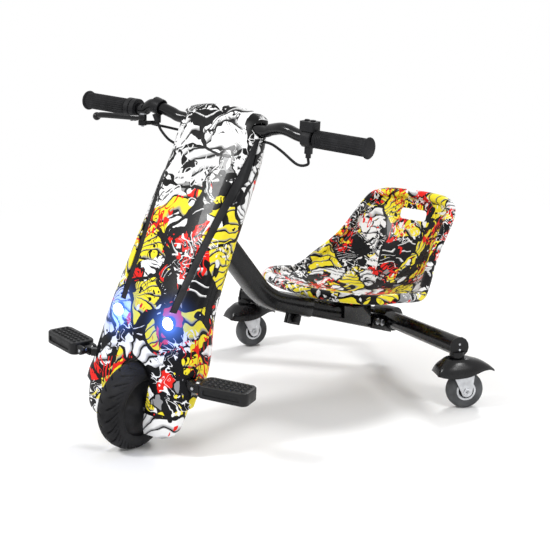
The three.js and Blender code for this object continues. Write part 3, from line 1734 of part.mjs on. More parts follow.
const scooter = new THREE.Group();
const front = steeredGroup(scooter);
addShell(front);
addRunningGear(rakedGroup(front));
addControls(front);
addPegs(front);
addFrame(scooter);
addBearings(rakedGroup(scooter));
addCasters(scooter);

// The origin goes to the middle of the footprint, on the ground
const bounds = new THREE.Box3().setFromObject(scooter, true);
const middle = bounds.getCenter(new THREE.Vector3());
scooter.position.set(-middle.x, -middle.y, -bounds.min.z);

export default scooter;
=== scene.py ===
"""Looks of an electric drift tricycle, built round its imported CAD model.

Metres, +Z up, the front towards -Y and the rider's left towards +X.
"""

import contextlib
import json
import math

import bpy
from mathutils import Matrix, Vector


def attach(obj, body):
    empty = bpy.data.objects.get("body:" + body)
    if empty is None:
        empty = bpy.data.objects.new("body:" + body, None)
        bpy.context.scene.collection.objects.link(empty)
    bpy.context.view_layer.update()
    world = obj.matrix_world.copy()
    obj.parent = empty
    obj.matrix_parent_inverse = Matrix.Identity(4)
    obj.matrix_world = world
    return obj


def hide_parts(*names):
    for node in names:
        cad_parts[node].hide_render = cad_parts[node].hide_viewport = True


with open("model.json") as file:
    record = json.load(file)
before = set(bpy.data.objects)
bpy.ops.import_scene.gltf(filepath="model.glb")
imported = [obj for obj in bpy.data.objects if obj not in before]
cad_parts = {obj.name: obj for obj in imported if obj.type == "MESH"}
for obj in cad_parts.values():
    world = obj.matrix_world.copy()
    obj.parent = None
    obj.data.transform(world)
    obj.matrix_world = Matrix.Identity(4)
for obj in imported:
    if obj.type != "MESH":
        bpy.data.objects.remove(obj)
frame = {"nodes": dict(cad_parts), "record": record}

bl_info = {
    "name": "Drift tricycle looks",
    "version": (1, 0, 0),
    "blender": (4, 5, 0),
    "location": "View3D > Sidebar > Tricycle",
    "description": "Models and paints the visible pieces of a drift tricycle",
    "category": "Object",
}

SIDES = (1, -1)
SIDE_NAME = {1: "left", -1: "right"}
BODY_OF = {name: body for body, names in frame["record"]["behaviour"]["bodies"].items() for name in names}

# Clearances
GAP = 0.0003
MERGE = 0.00001

# Where the model's origin lies, seen from the middle of the steering head
ORIGIN_SHIFT = Vector((-0.007974861, 0.002333703, 0))

# Pins of the lever and the pegs
PIN_RADIUS = 0.003

# Steering geometry
RAKE = math.radians(26.47)
STEER_ANGLE = math.radians(8.2)
FORK_OFFSET = 0.0197
WHEEL_RADIUS = 0.081
WHEEL_Y = -0.382
AXLE_SLOT_RADIUS = 0.008
TYRE_BEAD_RADIUS = 0.052

# Shell round the steering column
SHELL_FOOT_Y = -0.4
SHELL_FOOT_Z = 0.04
SHELL_HEIGHT = 0.567
SHELL_LEAN = 0.25
SHELL_DEPTH = 0.12
SHELL_HALF_WIDTH = 0.124
SHELL_WALL = 0.004
SHELL_EXPONENT = 3
SPLIT_SHARE = 0.36
ARCH_HALF_WIDTH = 0.038
ARCH_SHOULDER = 0.132
ARCH_TOP = 0.17
WELL_CLEARANCE = 0.008
WELL_WALL = 0.003
WINDOW_HALF_WIDTH = 0.075
WINDOW_BOTTOM = 0.306
WINDOW_TOP = 0.452
GROOVE_WIDTH = 0.016
TRIM_RECESS = 0.002
TRIM_THICKNESS = 0.003
LAMP_X = 0.06
LAMP_Z = 0.246
LAMP_RADIUS = 0.0125
LENS_RADIUS = 0.0113
LENS_LENGTH = 0.01
LENS_DOME = 0.006
LAMP_LENGTH = 0.026
GLOW_COLOUR = (0.1, 0.26, 1.0)
GLOW_POWER = 0.1
GLOW_DISTANCE = 0.02
# Painted blue glow of the headlights in the print and the cups: reach, fall-off, emission strength, blue tint
# and fall-off of the tint
HALO_REACH = 0.075
HALO_FALL = 3.2
HALO_STRENGTH = 1.1
HALO_TINT = (0.3, 0.45, 1.0)
HALO_TINT_FALL = 0.4
INLET_Z = 0.262
INLET_RADIUS = 0.009

# Each row: share of the height, of the lean, of the depth, of the half width
SHELL_SHARES = (
    (0, 0.016, 0.233, 0.952),
    (0.035, 0.004, 0.325, 0.984),
    (0.134, 0.044, 0.508, 1),
    (0.178, 0.068, 0.758, 0.984),
    (0.25, 0.096, 0.9, 0.935),
    (0.363, 0.148, 1, 0.831),
    (0.533, 0.364, 0.883, 0.798),
    (0.637, 0.5, 0.842, 0.79),
    (0.753, 0.652, 0.8, 0.774),
    (0.841, 0.768, 0.725, 0.766),
    (0.907, 0.852, 0.592, 0.758),
    (0.97, 0.94, 0.408, 0.742),
    (1, 0.992, 0.233, 0.677),
)

# Foot of the shell seen from the front: share of the height, of the half width
FOOT_SHARES = ((0, 0.63), (0.014, 0.8), (0.04, 0.92), (0.075, 0.98), (0.11, 1.02))

# Centre line of each groove: share of the height, of the half width
GROOVE_SHARES = (
    (0.394, 0.485),
    (0.541, 0.548),
    (0.688, 0.637),
    (0.811, 0.726),
    (0.917, 0.79),
)

# Handlebar and what sits on it
BAR_RADIUS = 0.011
BAR_HALF_LENGTH = 0.329
BAR_Y = -0.169
BAR_Z = 0.578
BAR_CENTRE_Y = -0.154
BAR_STRAIGHT = 0.18
BAR_RISE = 0.013
GRIP_RADIUS = 0.0155
GRIP_END_RADIUS = 0.019
GRIP_INNER = 0.222
GRIP_END_WALL = 0.004
HOUSING_INNER = 0.197
HOUSING_RADIUS = 0.019
PIVOT = Vector((-0.162, -0.196, 0.568))
PIVOT_RADIUS = 0.008
LEVER_WIDTH = 0.01
LEVER_THICKNESS = 0.007
LEVER_ROUND = 0.56
LEVER_BALL = Vector((-0.273, -0.206, 0.557))
LEVER_BALL_RADIUS = 0.008
CABLE_RADIUS = 0.0025

# Bend of the bar: share of its reach, of the offset in Y, of the rise
BAR_SHARES = (
    (0, 0, -0.35),
    (0.3, 0, -0.35),
    (0.555, 0.25, -0.3),
    (0.66, 0.45, 0.15),
    (0.8, 0.85, 0.77),
    (0.89, 1, 1),
    (0.955, 1, 0.55),
    (1, 1, 0),
)

# The same on the side of the switch pod, where nothing else holds the bar
POD_SIDE_SHARES = (
    *BAR_SHARES[1:4],
    (0.8, 0.85, 0.6),
    (0.9, 1, 0.55),
    (1, 1, 0.2),
    (1.09, 1, 0),
)

# Points of each cable, from its hand control into the shell
CABLE_ROUTES = {
    "brake_cable": (
        (-0.137, -0.181, 0.562),
        (-0.131, -0.178, 0.547),
        (-0.117, -0.171, 0.53),
        (-0.1, -0.165, 0.522),
        (-0.084, -0.162, 0.518),
    ),
    "throttle_cable": (
        (-0.196, -0.169, 0.559),
        (-0.168, -0.162, 0.552),
        (-0.138, -0.154, 0.549),
        (-0.112, -0.15, 0.547),
        (-0.084, -0.149, 0.546),
    ),
    "switch_cable": (
        (0.207, -0.169, 0.542),
        (0.2065, -0.169, 0.531),
        (0.182, -0.166, 0.527),
        (0.142, -0.158, 0.543),
        (0.112, -0.152, 0.552),
        (0.084, -0.15, 0.553),
    ),
}

# Foot pegs
PEG_HINGE = Vector((0.134, -0.367, 0.151))
PEG_SWEEP = math.radians(13)
PEG_START = 0.011
PEG_END = 0.108
PEG_WIDTH = 0.052
PEG_THICKNESS = 0.024
PEG_CORNER = 0.013
PEG_KNUCKLE_RADIUS = 0.008
PEG_KNUCKLE_WIDTH = 0.018
PEG_LUG_WIDTH = 0.008
BRACKET_ARM_HEIGHT = 0.014
BRACKET_ARM_THICKNESS = 0.009
BRACKET_INNER = Vector((0.0533, -0.33, 0.151))

# Casters
STEM_X = 0.3
STEM_Y = 0.2
TRAIL = 0.0176
CASTER_RADIUS = 0.0375
CASTER_WIDTH = 0.026
CASTER_RIM_RADIUS = 0.0198
CASTER_HUB_RADIUS = 0.009
CASTER_AXLE_RADIUS = 0.004
CASTER_CLEARANCE = 0.0025
CASTER_HEADINGS = {1: math.radians(34.9), -1: math.radians(18.5)}
CASTER_PLATE = 0.0025
CASTER_CROWN = 0.082
CASTER_BOSS_RADIUS = 0.0138
CASTER_BOSS_TOP = 0.1024
CASTER_STEM_RADIUS = 0.006
CASTER_STEM_TOP = 0.1155
CASTER_BOLT_RADIUS = 0.0075
CASTER_PLATE_FOOT = 0.0115
FENDER_FRONT = 0.045
FENDER_BACK = 0.08
FENDER_HALF_WIDTH = 0.031
FENDER_BOTTOM = 0.069
FENDER_HEIGHT = 0.0352
FENDER_WALL = 0.0022
FENDER_NECK_TOP = 0.105
FENDER_NECK_RADIUS = 0.017
FENDER_NECK_REACH = 0.034

# Reach of a fork plate along its length: ahead of the swivel stem at the crown, and behind it
CASTER_PLATE_TOP = (-0.016, 0.034)

# Turn at which the round foot of a fork plate starts, and how far it goes round, in degrees
PLATE_FOOT_START = -165
PLATE_FOOT_SWEEP = 150

# Roundness of the hood, across and in height
FENDER_ROUND = (2.5, 2.3)

# Each row: share of the length, of the half width, of the height, of the lift of its lower edge
FENDER_SHARES = (
    (0, 0.66, 0.16, 0.12),
    (0.03, 0.76, 0.5, 0.1),
    (0.09, 0.87, 0.76, 0.06),
    (0.18, 0.96, 0.92, 0.02),
    (0.32, 1, 1, 0),
    (0.5, 0.97, 1, 0.06),
    (0.64, 0.84, 0.93, 0.18),
    (0.77, 0.62, 0.76, 0.27),
    (0.89, 0.35, 0.5, 0.24),
    (0.96, 0.16, 0.3, 0.14),
    (1, 0.05, 0.16, 0.06),
)

# Height from which the shell's print is only white, grey and black, and one that no print reaches
PRINT_PALE_FROM = 0.49
PRINT_TOP = 1.0

# Crossbar ends
ARM_END = Vector((0.304, 0.2, 0.127))
ARM_APEX = Vector((0, 0.35, 0.099))
CAP_THICKNESS = 0.003
CAP_SCREW_RADIUS = 0.0022
CAP_SCREW_PROUD = 0.0008
CAP_SCREW_SPREAD = 0.0055

# Bucket seat
SEAT_FRONT_Y = 0.086
SEAT_FLOOR_Z = 0.174
SEAT_HALF_WIDTH = 0.176
SEAT_LENGTH = 0.36
SEAT_RISE = 0.186
SEAT_WALL = 0.004
SEAT_RIM_RADIUS = 0.0105
SEAT_BULGE = 2.4
SEAT_PLATE_Y = 0.224
SEAT_PLATE_TOP = 0.166
BOSS_RADIUS = 0.01
BOSS_SPACING = (0.076, 0.068)
SLOT_HALF_WIDTH = 0.037
SLOT_HEIGHT = 0.024
SLOT_BELOW_TOP = 0.0405

# Each row: place along the seat, share of its length and of its rise
SEAT_MIDDLE_SHARES = (
    (0, 0, 0.19),
    (1, 0.08, 0.1),
    (2, 0.19, 0.04),
    (3, 0.32, 0.01),
    (4, 0.45, 0),
    (5, 0.57, 0.02),
    (6, 0.67, 0.065),
    (7, 0.78, 0.18),
    (8, 0.89, 0.43),
    (9, 0.96, 0.7),
    (10, 0.99, 0.89),
    (11, 1, 1.03),
)

# Each row: place, share of the half width, of the length and of the rise
SEAT_RIM_SHARES = (
    (0, 0.9, 0.12, 0.2),
    (1, 0.98, 0.21, 0.2),
    (2, 1, 0.32, 0.17),
    (3, 0.99, 0.43, 0.15),
    (4, 0.94, 0.5, 0.21),
    (5, 0.88, 0.57, 0.31),
    (6, 0.82, 0.63, 0.39),
    (7, 0.75, 0.72, 0.52),
    (8, 0.71, 0.81, 0.68),
    (9, 0.67, 0.91, 0.87),
    (10, 0.6, 0.955, 0.97),
    (11, 0.45, 0.98, 1.02),
)


def colour_property(label, about, default):
    return bpy.props.FloatVectorProperty(
        name=label, description=about, subtype="COLOR", size=3, min=0, max=1, default=default
    )


def length_property(label, about, default):
    return bpy.props.FloatProperty(
        name=label, description=about, default=default, min=0, unit="LENGTH", precision=4
    )


class TricycleColours(bpy.types.PropertyGroup):
    """Colours that a user may change before the pieces are made."""

    print_white: colour_property("Print white", "Lightest tone of the prints", (0.82, 0.82, 0.82))
    print_black: colour_property("Print black", "Darkest tone of the prints", (0.004, 0.004, 0.005))
    print_grey: colour_property("Print grey", "Middle tone of the prints", (0.27, 0.27, 0.28))
    print_yellow: colour_property("Print yellow", "Yellow of the prints", (0.86, 0.72, 0.03))
    print_red: colour_property("Print red", "Red of the prints", (0.75, 0.016, 0.01))
    paint: colour_property("Frame paint", "Gloss paint of the tubes and the fenders", (0.006, 0.006, 0.007))
    plastic: colour_property("Moulded plastic", "Plastic of pegs and hand controls", (0.012, 0.012, 0.013))
    grip: colour_property("Grip rubber", "Rubber of the grips and the cables", (0.011, 0.011, 0.012))
    tyre: colour_property("Front tyre", "Rubber of the front tyre", (0.013, 0.013, 0.014))
    caster_tyre: colour_property("Caster tyre", "Hard rubber of the caster wheels", (0.06, 0.062, 0.065))
    zinc: colour_property("Zinc plating", "Plated steel of the caster forks and rims", (0.55, 0.56, 0.58))
    steel: colour_property("Bright steel", "Bolts, pins, bearings and the axle", (0.42, 0.43, 0.45))
    # Near black, so that the hub motor reads as the shade inside the front wheel: painted shade
    alloy: colour_property("Cast alloy", "Hub motor and motor controller", (0.02, 0.02, 0.022))
    battery: colour_property("Battery wrap", "Shrink wrap of the battery", (0.02, 0.07, 0.22))
    light: colour_property("Lamp light", "Light of the two headlights", (0.62, 0.8, 1.0))


class TricycleSizes(bpy.types.PropertyGroup):
    """Sizes of the details that the scene adds to the CAD model."""

    edge: length_property("Edge rounding", "Width of the rounding on plain edges", 0.0008)
    fine_edge: length_property("Fine rounding", "Width of the rounding on small pieces", 0.0004)
    tread_depth: length_property("Tread depth", "Depth of the grooves in the front tyre", 0.0034)
    tread_width: length_property("Tread groove", "Half width of the grooves in the front tyre", 0.002)
    rib_depth: length_property("Rib depth", "Depth of the ribs on the grips", 0.0005)
    seat_voxel: length_property("Seat detail", "Size of the faces that blend the seat's rim", 0.0022)
    print_cell: length_property("Print motif", "Size of the shapes in the print", 0.054)
    tread_count: bpy.props.IntProperty(
        name="Tread grooves", description="Grooves round one side of the front tyre", default=22, min=4
    )
    rib_count: bpy.props.IntProperty(
        name="Grip ribs", description="Ribs along a grip", default=24, min=4
    )


def sizes():
    return bpy.context.scene.tricycle_sizes


def colours():
    return bpy.context.scene.tricycle_colours


# Print: its tones, then sizes and rates in shares of its motif
PRINT_TONES = ("white", "black", "grey", "yellow", "red")
PRINT_BEND = 0.8
FAN_SIZE = 1.7
FAN_ROOT = 0.55
FAN_CURL = 1.6
FAN_WOBBLE = 2
FAN_COUNT = 9
FAN_RIM = 0.035
DARK_FROM = 0.36
SHARD_RATE = 1.5
SHARD_BEND = 0.5
SHARD_RIM = 0.05
SHARD_FIELD = (0.9, 0.53)
STROKE_FIELD_RATE = 0.65
DROP_RATE = 4
DROP_FROM = 0.75
DROP_RADIUS = 0.32

# Tones across a fold of a pale, a warm and a dark fan: place, tone
FOLD_TONES = (
    ((0, "black"), (0.12, "black"), (0.16, "grey"), (0.42, "white"), (0.9, "white"), (1, "grey")),
    ((0, "black"), (0.14, "black"), (0.18, "grey"), (0.36, "yellow"), (0.95, "yellow")),
    ((0, "black"), (0.8, "black"), (0.84, "grey"), (0.93, "white")),
)

# Tones that a shard or a drop may take, each from its place on
SHARD_TONES = ((0, "black"), (0.46, "white"), (0.62, "grey"), (0.7, "yellow"), (0.84, "red"), (0.9, "black"))
DROP_TONES = ((0, "white"), (0.4, "black"), (0.65, "yellow"), (0.85, "red"))

# Each kind of stroke: size, width, tilt, how rare it is, tone
STROKES = (
    (0.5, 0.034, 0.3, 0.58, "black"),
    (0.62, 0.04, -0.5, 0.55, "red"),
    (0.42, 0.03, 0.9, 0.6, "white"),
)

# Strokes: how far they run on along the shell, the heights they follow, their detail, bend and least width
SCRAWL_STRETCH = (1, 1, 0.55)
SCRAWL_LEVELS = (0.42, 0.56)
SCRAWL_DETAIL = 1.4
SCRAWL_BEND = 0.9
SCRAWL_THIN = 0.15

# The middle range of a noise, and the unit of depth of the fine relief in the finishes
NOISE_RANGE = (0.3, 0.7)
GRAIN = 0.0001


# Materials
class Nodes:
    """A node tree that is built one node after another."""

    def __init__(self, tree):
        self.tree = tree

    def add(self, kind, settings=None, values=None, links=None):
        node = self.tree.nodes.new("ShaderNode" + kind)
        for setting, value in (settings or {}).items():
            setattr(node, setting, value)
        for socket, value in (values or {}).items():
            node.inputs[socket].default_value = value
        for socket, source in (links or {}).items():
            self.tree.links.new(source, node.inputs[socket])
        return node

    def feed(self, socket, value):
        """Sets a socket to a number or a colour, or links it."""
        if isinstance(value, (int, float)):
            socket.default_value = value
        elif isinstance(value, tuple):
            socket.default_value = (*value, 1)
        else:
            self.tree.links.new(value, socket)

    def sums(self, operation, first, second):
        node = self.add("Math", {"operation": operation})
        for socket, value in zip(node.inputs, (first, second)):
            self.feed(socket, value)
        return node.outputs["Value"]

    def vectors(self, operation, links, values=None):
        node = self.add("VectorMath", {"operation": operation}, values, links)
        return node.outputs["Value" if operation in ("LENGTH", "DISTANCE") else "Vector"]


class Finish(Nodes):
    """A material round one principled shader."""

    def __init__(self, name, colour, roughness, **sockets):
        self.material = bpy.data.materials.new(name)
        self.material.use_nodes = True
        super().__init__(self.material.node_tree)
        self.shader = self.tree.nodes["Principled BSDF"]
        self.shader.inputs["Base Color"].default_value = (*colour, 1)
        self.shader.inputs["Roughness"].default_value = roughness
        for socket, value in sockets.items():
            self.shader.inputs[socket.replace("_", " ")].default_value = value
        self.place = self.add("TexCoord").outputs["Object"]

    def mapped(self, turn=(0, 0, 0), stretch=(1, 1, 1), shift=(0, 0, 0)):
        values = {"Rotation": turn, "Scale": stretch, "Location": shift}
        return self.add("Mapping", values=values, links={"Vector": self.place}).outputs["Vector"]

    def noise(self, scale, detail=3, source=None, distortion=0.0):
        values = {"Scale": scale, "Detail": detail, "Distortion": distortion}
        return self.add("TexNoise", values=values, links={"Vector": source or self.place})

    def cloud(self, scale, detail=3, source=None, distortion=0.0):
        """The strength of a noise, without its colour."""
        return self.noise(scale, detail, source, distortion).outputs["Fac"]

    def cells(self, scale, source=None, feature="F1"):
        links = {"Vector": source or self.place}
        return self.add("TexVoronoi", {"feature": feature}, {"Scale": scale}, links)

    def spread(self, value, low, high, to_low=0.0, to_high=1.0):
        values = {"From Min": low, "From Max": high, "To Min": to_low, "To Max": to_high}
        return self.add("MapRange", values=values, links={"Value": value}).outputs["Result"]

    def steps(self, value, stops, interpolation="LINEAR"):
        """A ramp from a list of places and colours."""
        node = self.add("ValToRGB", links={"Fac": value})
        ramp = node.color_ramp
        ramp.interpolation = interpolation
        while len(ramp.elements) < len(stops):
            ramp.elements.new(1)
        for element, (place, colour) in zip(ramp.elements, stops):
            element.position = place
            element.color = (*colour, 1)
        return node.outputs["Color"]

    def clouded(self, value, colour, *stops):
        """A ramp from places and shares of one colour."""
        return self.steps(value, [(place, shaded(colour, share)) for place, share in stops])

    def blend(self, share, first, second, mode="MIX"):
        node = self.add("Mix", {"data_type": "RGBA", "blend_type": mode})
        for socket, value in ((0, share), (6, first), (7, second)):
            self.feed(node.inputs[socket], value)
        return node.outputs[2]

    def paint(self, socket, source):
        self.tree.links.new(source, self.shader.inputs[socket])

    def worn(self, value, low, high):
        """Roughness that wanders between two values."""
        self.paint("Roughness", self.spread(value, *NOISE_RANGE, low, high))

    def bump(self, height, strength, distance):
        values = {"Strength": strength, "Distance": distance}
        self.paint("Normal", self.add("Bump", values=values, links={"Height": height}).outputs["Normal"])


def shaded(colour, share):
    """A colour made darker or lighter by a share."""
    return tuple(min(tone * share, 1) for tone in colour)


def bent(made, place, size, amount):
    """A place pushed about by soft noise, so that straight borders bend."""
    noise = made.noise(1 / size, detail=2, source=place).outputs["Color"]
    centred = made.vectors("SUBTRACT", {0: noise}, {1: (0.5, 0.5, 0.5)})
    push = made.vectors("SCALE", {0: centred}, {"Scale": amount})
    return made.vectors("ADD", {0: place, 1: push})


def picks(made, cell):
    """Three random numbers of a cell."""
    split = made.add("SeparateColor", links={"Color": cell.outputs["Color"]})
    return [split.outputs[key] for key in ("Red", "Green", "Blue")]


def fan_folds(made, place, size, count):
    """Curved folds that spread from one corner of each cell, from 0 to 1 across a fold."""
    cell = made.cells(1 / size, place)
    arm = made.vectors("SUBTRACT", {0: place, 1: cell.outputs["Position"]})
    parts = made.add("SeparateXYZ", links={"Vector": arm})
    angle = made.sums("ARCTAN2", parts.outputs["Z"], made.sums("ADD", parts.outputs["X"], FAN_ROOT * size))
    curl = made.sums("MULTIPLY", made.vectors("LENGTH", {0: arm}), FAN_CURL / size)
    bend = made.sums("ADD", curl, made.cloud(FAN_WOBBLE / size, detail=1, source=place))
    turn = made.sums("ADD", made.sums("MULTIPLY", angle, count / math.pi), bend)
    return cell, made.sums("FRACT", turn, 0)


def scrawled(made, place, size, width):
    """Loose loops of uneven width, as a brush leaves them."""
    long_place = made.add("Mapping", values={"Scale": SCRAWL_STRETCH}, links={"Vector": place})
    path = made.cloud(1 / size, SCRAWL_DETAIL, long_place.outputs["Vector"], SCRAWL_BEND)
    thick = made.spread(made.cloud(2 / size, detail=0, source=place), 0.35, 0.7, SCRAWL_THIN * width, width)
    near = [made.sums("ABSOLUTE", made.sums("SUBTRACT", path, level), 0) for level in SCRAWL_LEVELS]
    return made.sums("LESS_THAN", made.sums("MINIMUM", *near), thick)


def painted_lamp_halo(made, base):
    """Painted blue glow of the two headlights on the surface round them: emission and a blue tint in the
    colour.
    """
    shares = []
    for side in SIDES:
        away = made.vectors("DISTANCE", {0: made.place}, {1: lamp_frame(side).translation})
        shares.append(made.sums("POWER", made.spread(away, LENS_RADIUS, HALO_REACH, 1, 0), HALO_FALL))
    share = made.sums("MINIMUM", made.sums("ADD", *shares), 1)
    made.paint("Emission Strength", made.sums("MULTIPLY", share, HALO_STRENGTH))
    made.shader.inputs["Emission Color"].default_value = (*GLOW_COLOUR, 1)
    return made.blend(made.sums("POWER", share, HALO_TINT_FALL), base, HALO_TINT, "MULTIPLY")


def splash_print(name, turn, shift, share, warm_from, pale_from):
    """Glossy printed plastic: fans of folds, shards, strokes and spatter in five colours, with a painted blue
    glow round the headlights.
    """
    tone = {key: tuple(getattr(colours(), "print_" + key)) for key in PRINT_TONES}
    made = Finish(name, tone["white"], 0.36, Specular_IOR_Level=0.1, Coat_Weight=0.1, Coat_Roughness=0.04)

    def ramp(value, stops, interpolation="CONSTANT"):
        return made.steps(value, [(place, tone[key]) for place, key in stops], interpolation)

    def over(low, high):
        return made.sums("GREATER_THAN", low, high)

    def under(low, high):
        return made.sums("LESS_THAN", low, high)

    size = sizes().print_cell * share
    place = made.mapped(turn=turn, shift=shift)
    curved = bent(made, place, size, PRINT_BEND * size)
    cracked = bent(made, place, SHARD_BEND * size, SHARD_BEND * size)

    cell, fold = fan_folds(made, curved, FAN_SIZE * size, FAN_COUNT)
    kind = picks(made, cell)[0]
    pale, warm, dark = (ramp(fold, stops, "LINEAR") for stops in FOLD_TONES)
    fans = made.blend(over(kind, DARK_FROM), pale, dark)
    fans = made.blend(over(kind, warm_from), fans, warm)

    shard = made.cells(SHARD_RATE / size, cracked)
    chips = ramp(picks(made, shard)[0], SHARD_TONES)
    field_rate, field_from = SHARD_FIELD
    broken = over(made.cloud(field_rate / size, detail=1, source=curved), field_from)
    base = made.blend(broken, fans, chips)

    rims = made.cells(1 / (FAN_SIZE * size), curved, "DISTANCE_TO_EDGE").outputs["Distance"]
    base = made.blend(under(rims, FAN_RIM), base, tone["black"])
    edges = made.cells(SHARD_RATE / size, cracked, "DISTANCE_TO_EDGE").outputs["Distance"]
    base = made.blend(made.sums("MULTIPLY", broken, under(edges, SHARD_RIM)), base, tone["black"])

    for stroke, (scale, width, tilt, low, key) in enumerate(STROKES):
        offset = (stroke * size, size, stroke * size)
        slanted = made.mapped(turn=(turn[0], turn[1] + tilt, turn[2]), shift=offset)
        strokes = scrawled(made, slanted, scale * size, width)
        field = over(made.cloud(STROKE_FIELD_RATE / size, detail=0, source=slanted), low)
        base = made.blend(made.sums("MULTIPLY", strokes, field), base, tone[key])

    drops = made.cells(DROP_RATE / size, curved)
    large, hue = picks(made, drops)[:2]
    dot = under(drops.outputs["Distance"], made.spread(large, DROP_FROM, 1, 0, DROP_RADIUS))
    base = made.blend(dot, base, ramp(hue, DROP_TONES))

    height = made.add("SeparateXYZ", links={0: curved}).outputs["Z"]
    links = {"Saturation": under(height, pale_from), "Color": base}
    base = made.add("HueSaturation", links=links).outputs["Color"]

    # Painted blue glow of the headlights over the print
    made.paint("Base Color", painted_lamp_halo(made, base))
    made.worn(made.cloud(scale=90, detail=2), low=0.24, high=0.36)
    made.bump(made.cloud(scale=220, detail=1), strength=0.06, distance=4 * GRAIN)
    return made.material


def gloss_paint(name, coat, coat_roughness):
    """Black gloss paint on steel, a little uneven and duller where it is handled."""
    colour = tuple(colours().paint)
    made = Finish(name, colour, roughness=0.24, Specular_IOR_Level=0.08,
                  Coat_Weight=coat, Coat_Roughness=coat_roughness)
    made.paint("Base Color", made.clouded(made.cloud(scale=34, detail=5), colour, (0.35, 0.35), (0.75, 1)))
    made.worn(made.cloud(scale=60, detail=4), low=0.18, high=0.34)
    made.bump(made.cloud(scale=320, detail=2), strength=0.08, distance=3 * GRAIN)
    return made.material


def grained(name, colour, roughness, grain, depth, gleam=0.12, wear=0.12):
    """Moulded plastic or rubber: a fine grain, with rubbed and dusty places."""
    made = Finish(name, colour, roughness, Specular_IOR_Level=gleam)
    made.paint("Base Color", made.clouded(made.cloud(scale=28, detail=4), colour, (0.3, 0.75), (0.75, 1.9)))
    made.worn(made.cloud(scale=70, detail=3), roughness - wear, roughness + wear)
    pits = made.cells(grain).outputs["Distance"]
    made.bump(made.sums("ADD", pits, made.cloud(grain, detail=2)), strength=0.35, distance=depth)
    return made.material


def cup_plastic(name):
    """The plastic round a lit headlight, with a painted blue glow of its light."""
    colour = tuple(colours().plastic)
    made = Finish(name, colour, roughness=0.4, Specular_IOR_Level=0.12)
    made.paint("Base Color", painted_lamp_halo(made, made.clouded(made.cloud(40, 3), colour, (0.3, 1), (0.8, 2))))
    made.bump(made.cloud(scale=700, detail=2), strength=0.3, distance=2 * GRAIN)
    return made.material


def plated(name, colour, roughness, streak):
    """Plated or brushed metal: faint clouds, fine streaks and small pits."""
    made = Finish(name, colour, roughness, Metallic=0.92)
    made.paint("Base Color", made.clouded(made.cloud(scale=45, detail=4), colour, (0.3, 0.72), (0.7, 1.25)))
    lines = made.cloud(scale=120, detail=3, source=made.mapped(stretch=(1, 1, streak)))
    made.worn(lines, roughness - 0.1, roughness + 0.14)
    made.bump(lines, strength=0.12, distance=2 * GRAIN)
    return made.material


def cast_metal(name):
    """Cast alloy with a sand-like skin."""
    colour = tuple(colours().alloy)
    made = Finish(name, colour, roughness=0.5, Metallic=0.7)
    made.paint("Base Color", made.clouded(made.cloud(scale=60, detail=4), colour, (0.3, 0.7), (0.7, 1.4)))
    made.worn(made.cloud(scale=150, detail=2), low=0.4, high=0.62)
    made.bump(made.cloud(scale=700, detail=3), strength=0.4, distance=3 * GRAIN)
    return made.material


def shrink_wrap(name):
    """Thin glossy film round the battery, with slack ripples."""
    colour = tuple(colours().battery)
    made = Finish(name, colour, roughness=0.3, Coat_Weight=0.4)
    ripples = made.cloud(scale=70, detail=3, source=made.mapped(stretch=(1, 1, 0.2)))
    made.paint("Base Color", made.clouded(ripples, colour, (0.3, 0.75), (0.7, 1.5)))
    made.worn(ripples, low=0.22, high=0.42)
    made.bump(ripples, strength=0.5, distance=8 * GRAIN)
    return made.material


def lit_lens(name):
    """Clear domed lens with its lamp on: a hot middle that falls off to blue."""
    made = Finish(name, (0.9, 0.95, 1.0), roughness=0.06, Coat_Weight=0.5, Emission_Strength=6.0)
    facets = made.cells(scale=700).outputs["Distance"]
    made.paint("Emission Color", made.steps(facets, ((0, (1, 1, 1)), (0.8, tuple(colours().light)))))
    made.bump(facets, strength=0.3, distance=5 * GRAIN)
    return made.material


def finish_set():
    """Makes every material of the object."""
    hue = {key: tuple(getattr(colours(), key)) for key in TricycleColours.__annotations__}
    splash_print("shell_print", (0.1, RAKE, 0.3), (0.03, 0.02, 0.11), 1, 0.6, PRINT_PALE_FROM)
    splash_print("seat_print", (0.6, 0.3, 0.9), (0.12, 0.33, 0.27), 0.8, 0.46, PRINT_TOP)
    gloss_paint("gloss_paint", coat=0.4, coat_roughness=0.12)
    gloss_paint("hood_paint", coat=0.46, coat_roughness=0.24)
    grained("peg_plastic", shaded(hue["plastic"], 0.4), roughness=0.4, grain=900, depth=3 * GRAIN, gleam=0.26)
    grained("satin_plastic", hue["plastic"], roughness=0.46, grain=900, depth=3 * GRAIN)
    cup_plastic("cup_plastic")
    grained("grip_rubber", hue["grip"], roughness=0.62, grain=700, depth=4 * GRAIN)
    grained("tyre_rubber", hue["tyre"], roughness=0.66, grain=500, depth=5 * GRAIN)
    grained("caster_rubber", hue["caster_tyre"], roughness=0.5, grain=600, depth=3 * GRAIN)
    plated("zinc_plate", hue["zinc"], roughness=0.34, streak=0.3)
    plated("bright_steel", hue["steel"], roughness=0.3, streak=0.1)
    cast_metal("cast_metal")
    shrink_wrap("shrink_wrap")
    lit_lens("lit_lens")


# Frames of the moving groups, as the CAD model places them
def steering_frame():
    """The raked frame whose foot lies level with the axle, before steering."""
    foot = Vector((0, WHEEL_Y + FORK_OFFSET * math.cos(RAKE), WHEEL_RADIUS - FORK_OFFSET * math.sin(RAKE)))
    return Matrix.Translation(foot) @ Matrix.Rotation(-RAKE, 4, "X")


def front_frame():
    """Where the steered front group lies in the finished model."""
    raked = steering_frame()
    turn = raked @ Matrix.Rotation(STEER_ANGLE, 4, "Z") @ raked.inverted()
    return Matrix.Translation(ORIGIN_SHIFT) @ turn


def rear_frame():
    return Matrix.Translation(ORIGIN_SHIFT)


def on_side(place, side):
    return Vector((side * place.x, place.y, place.z))


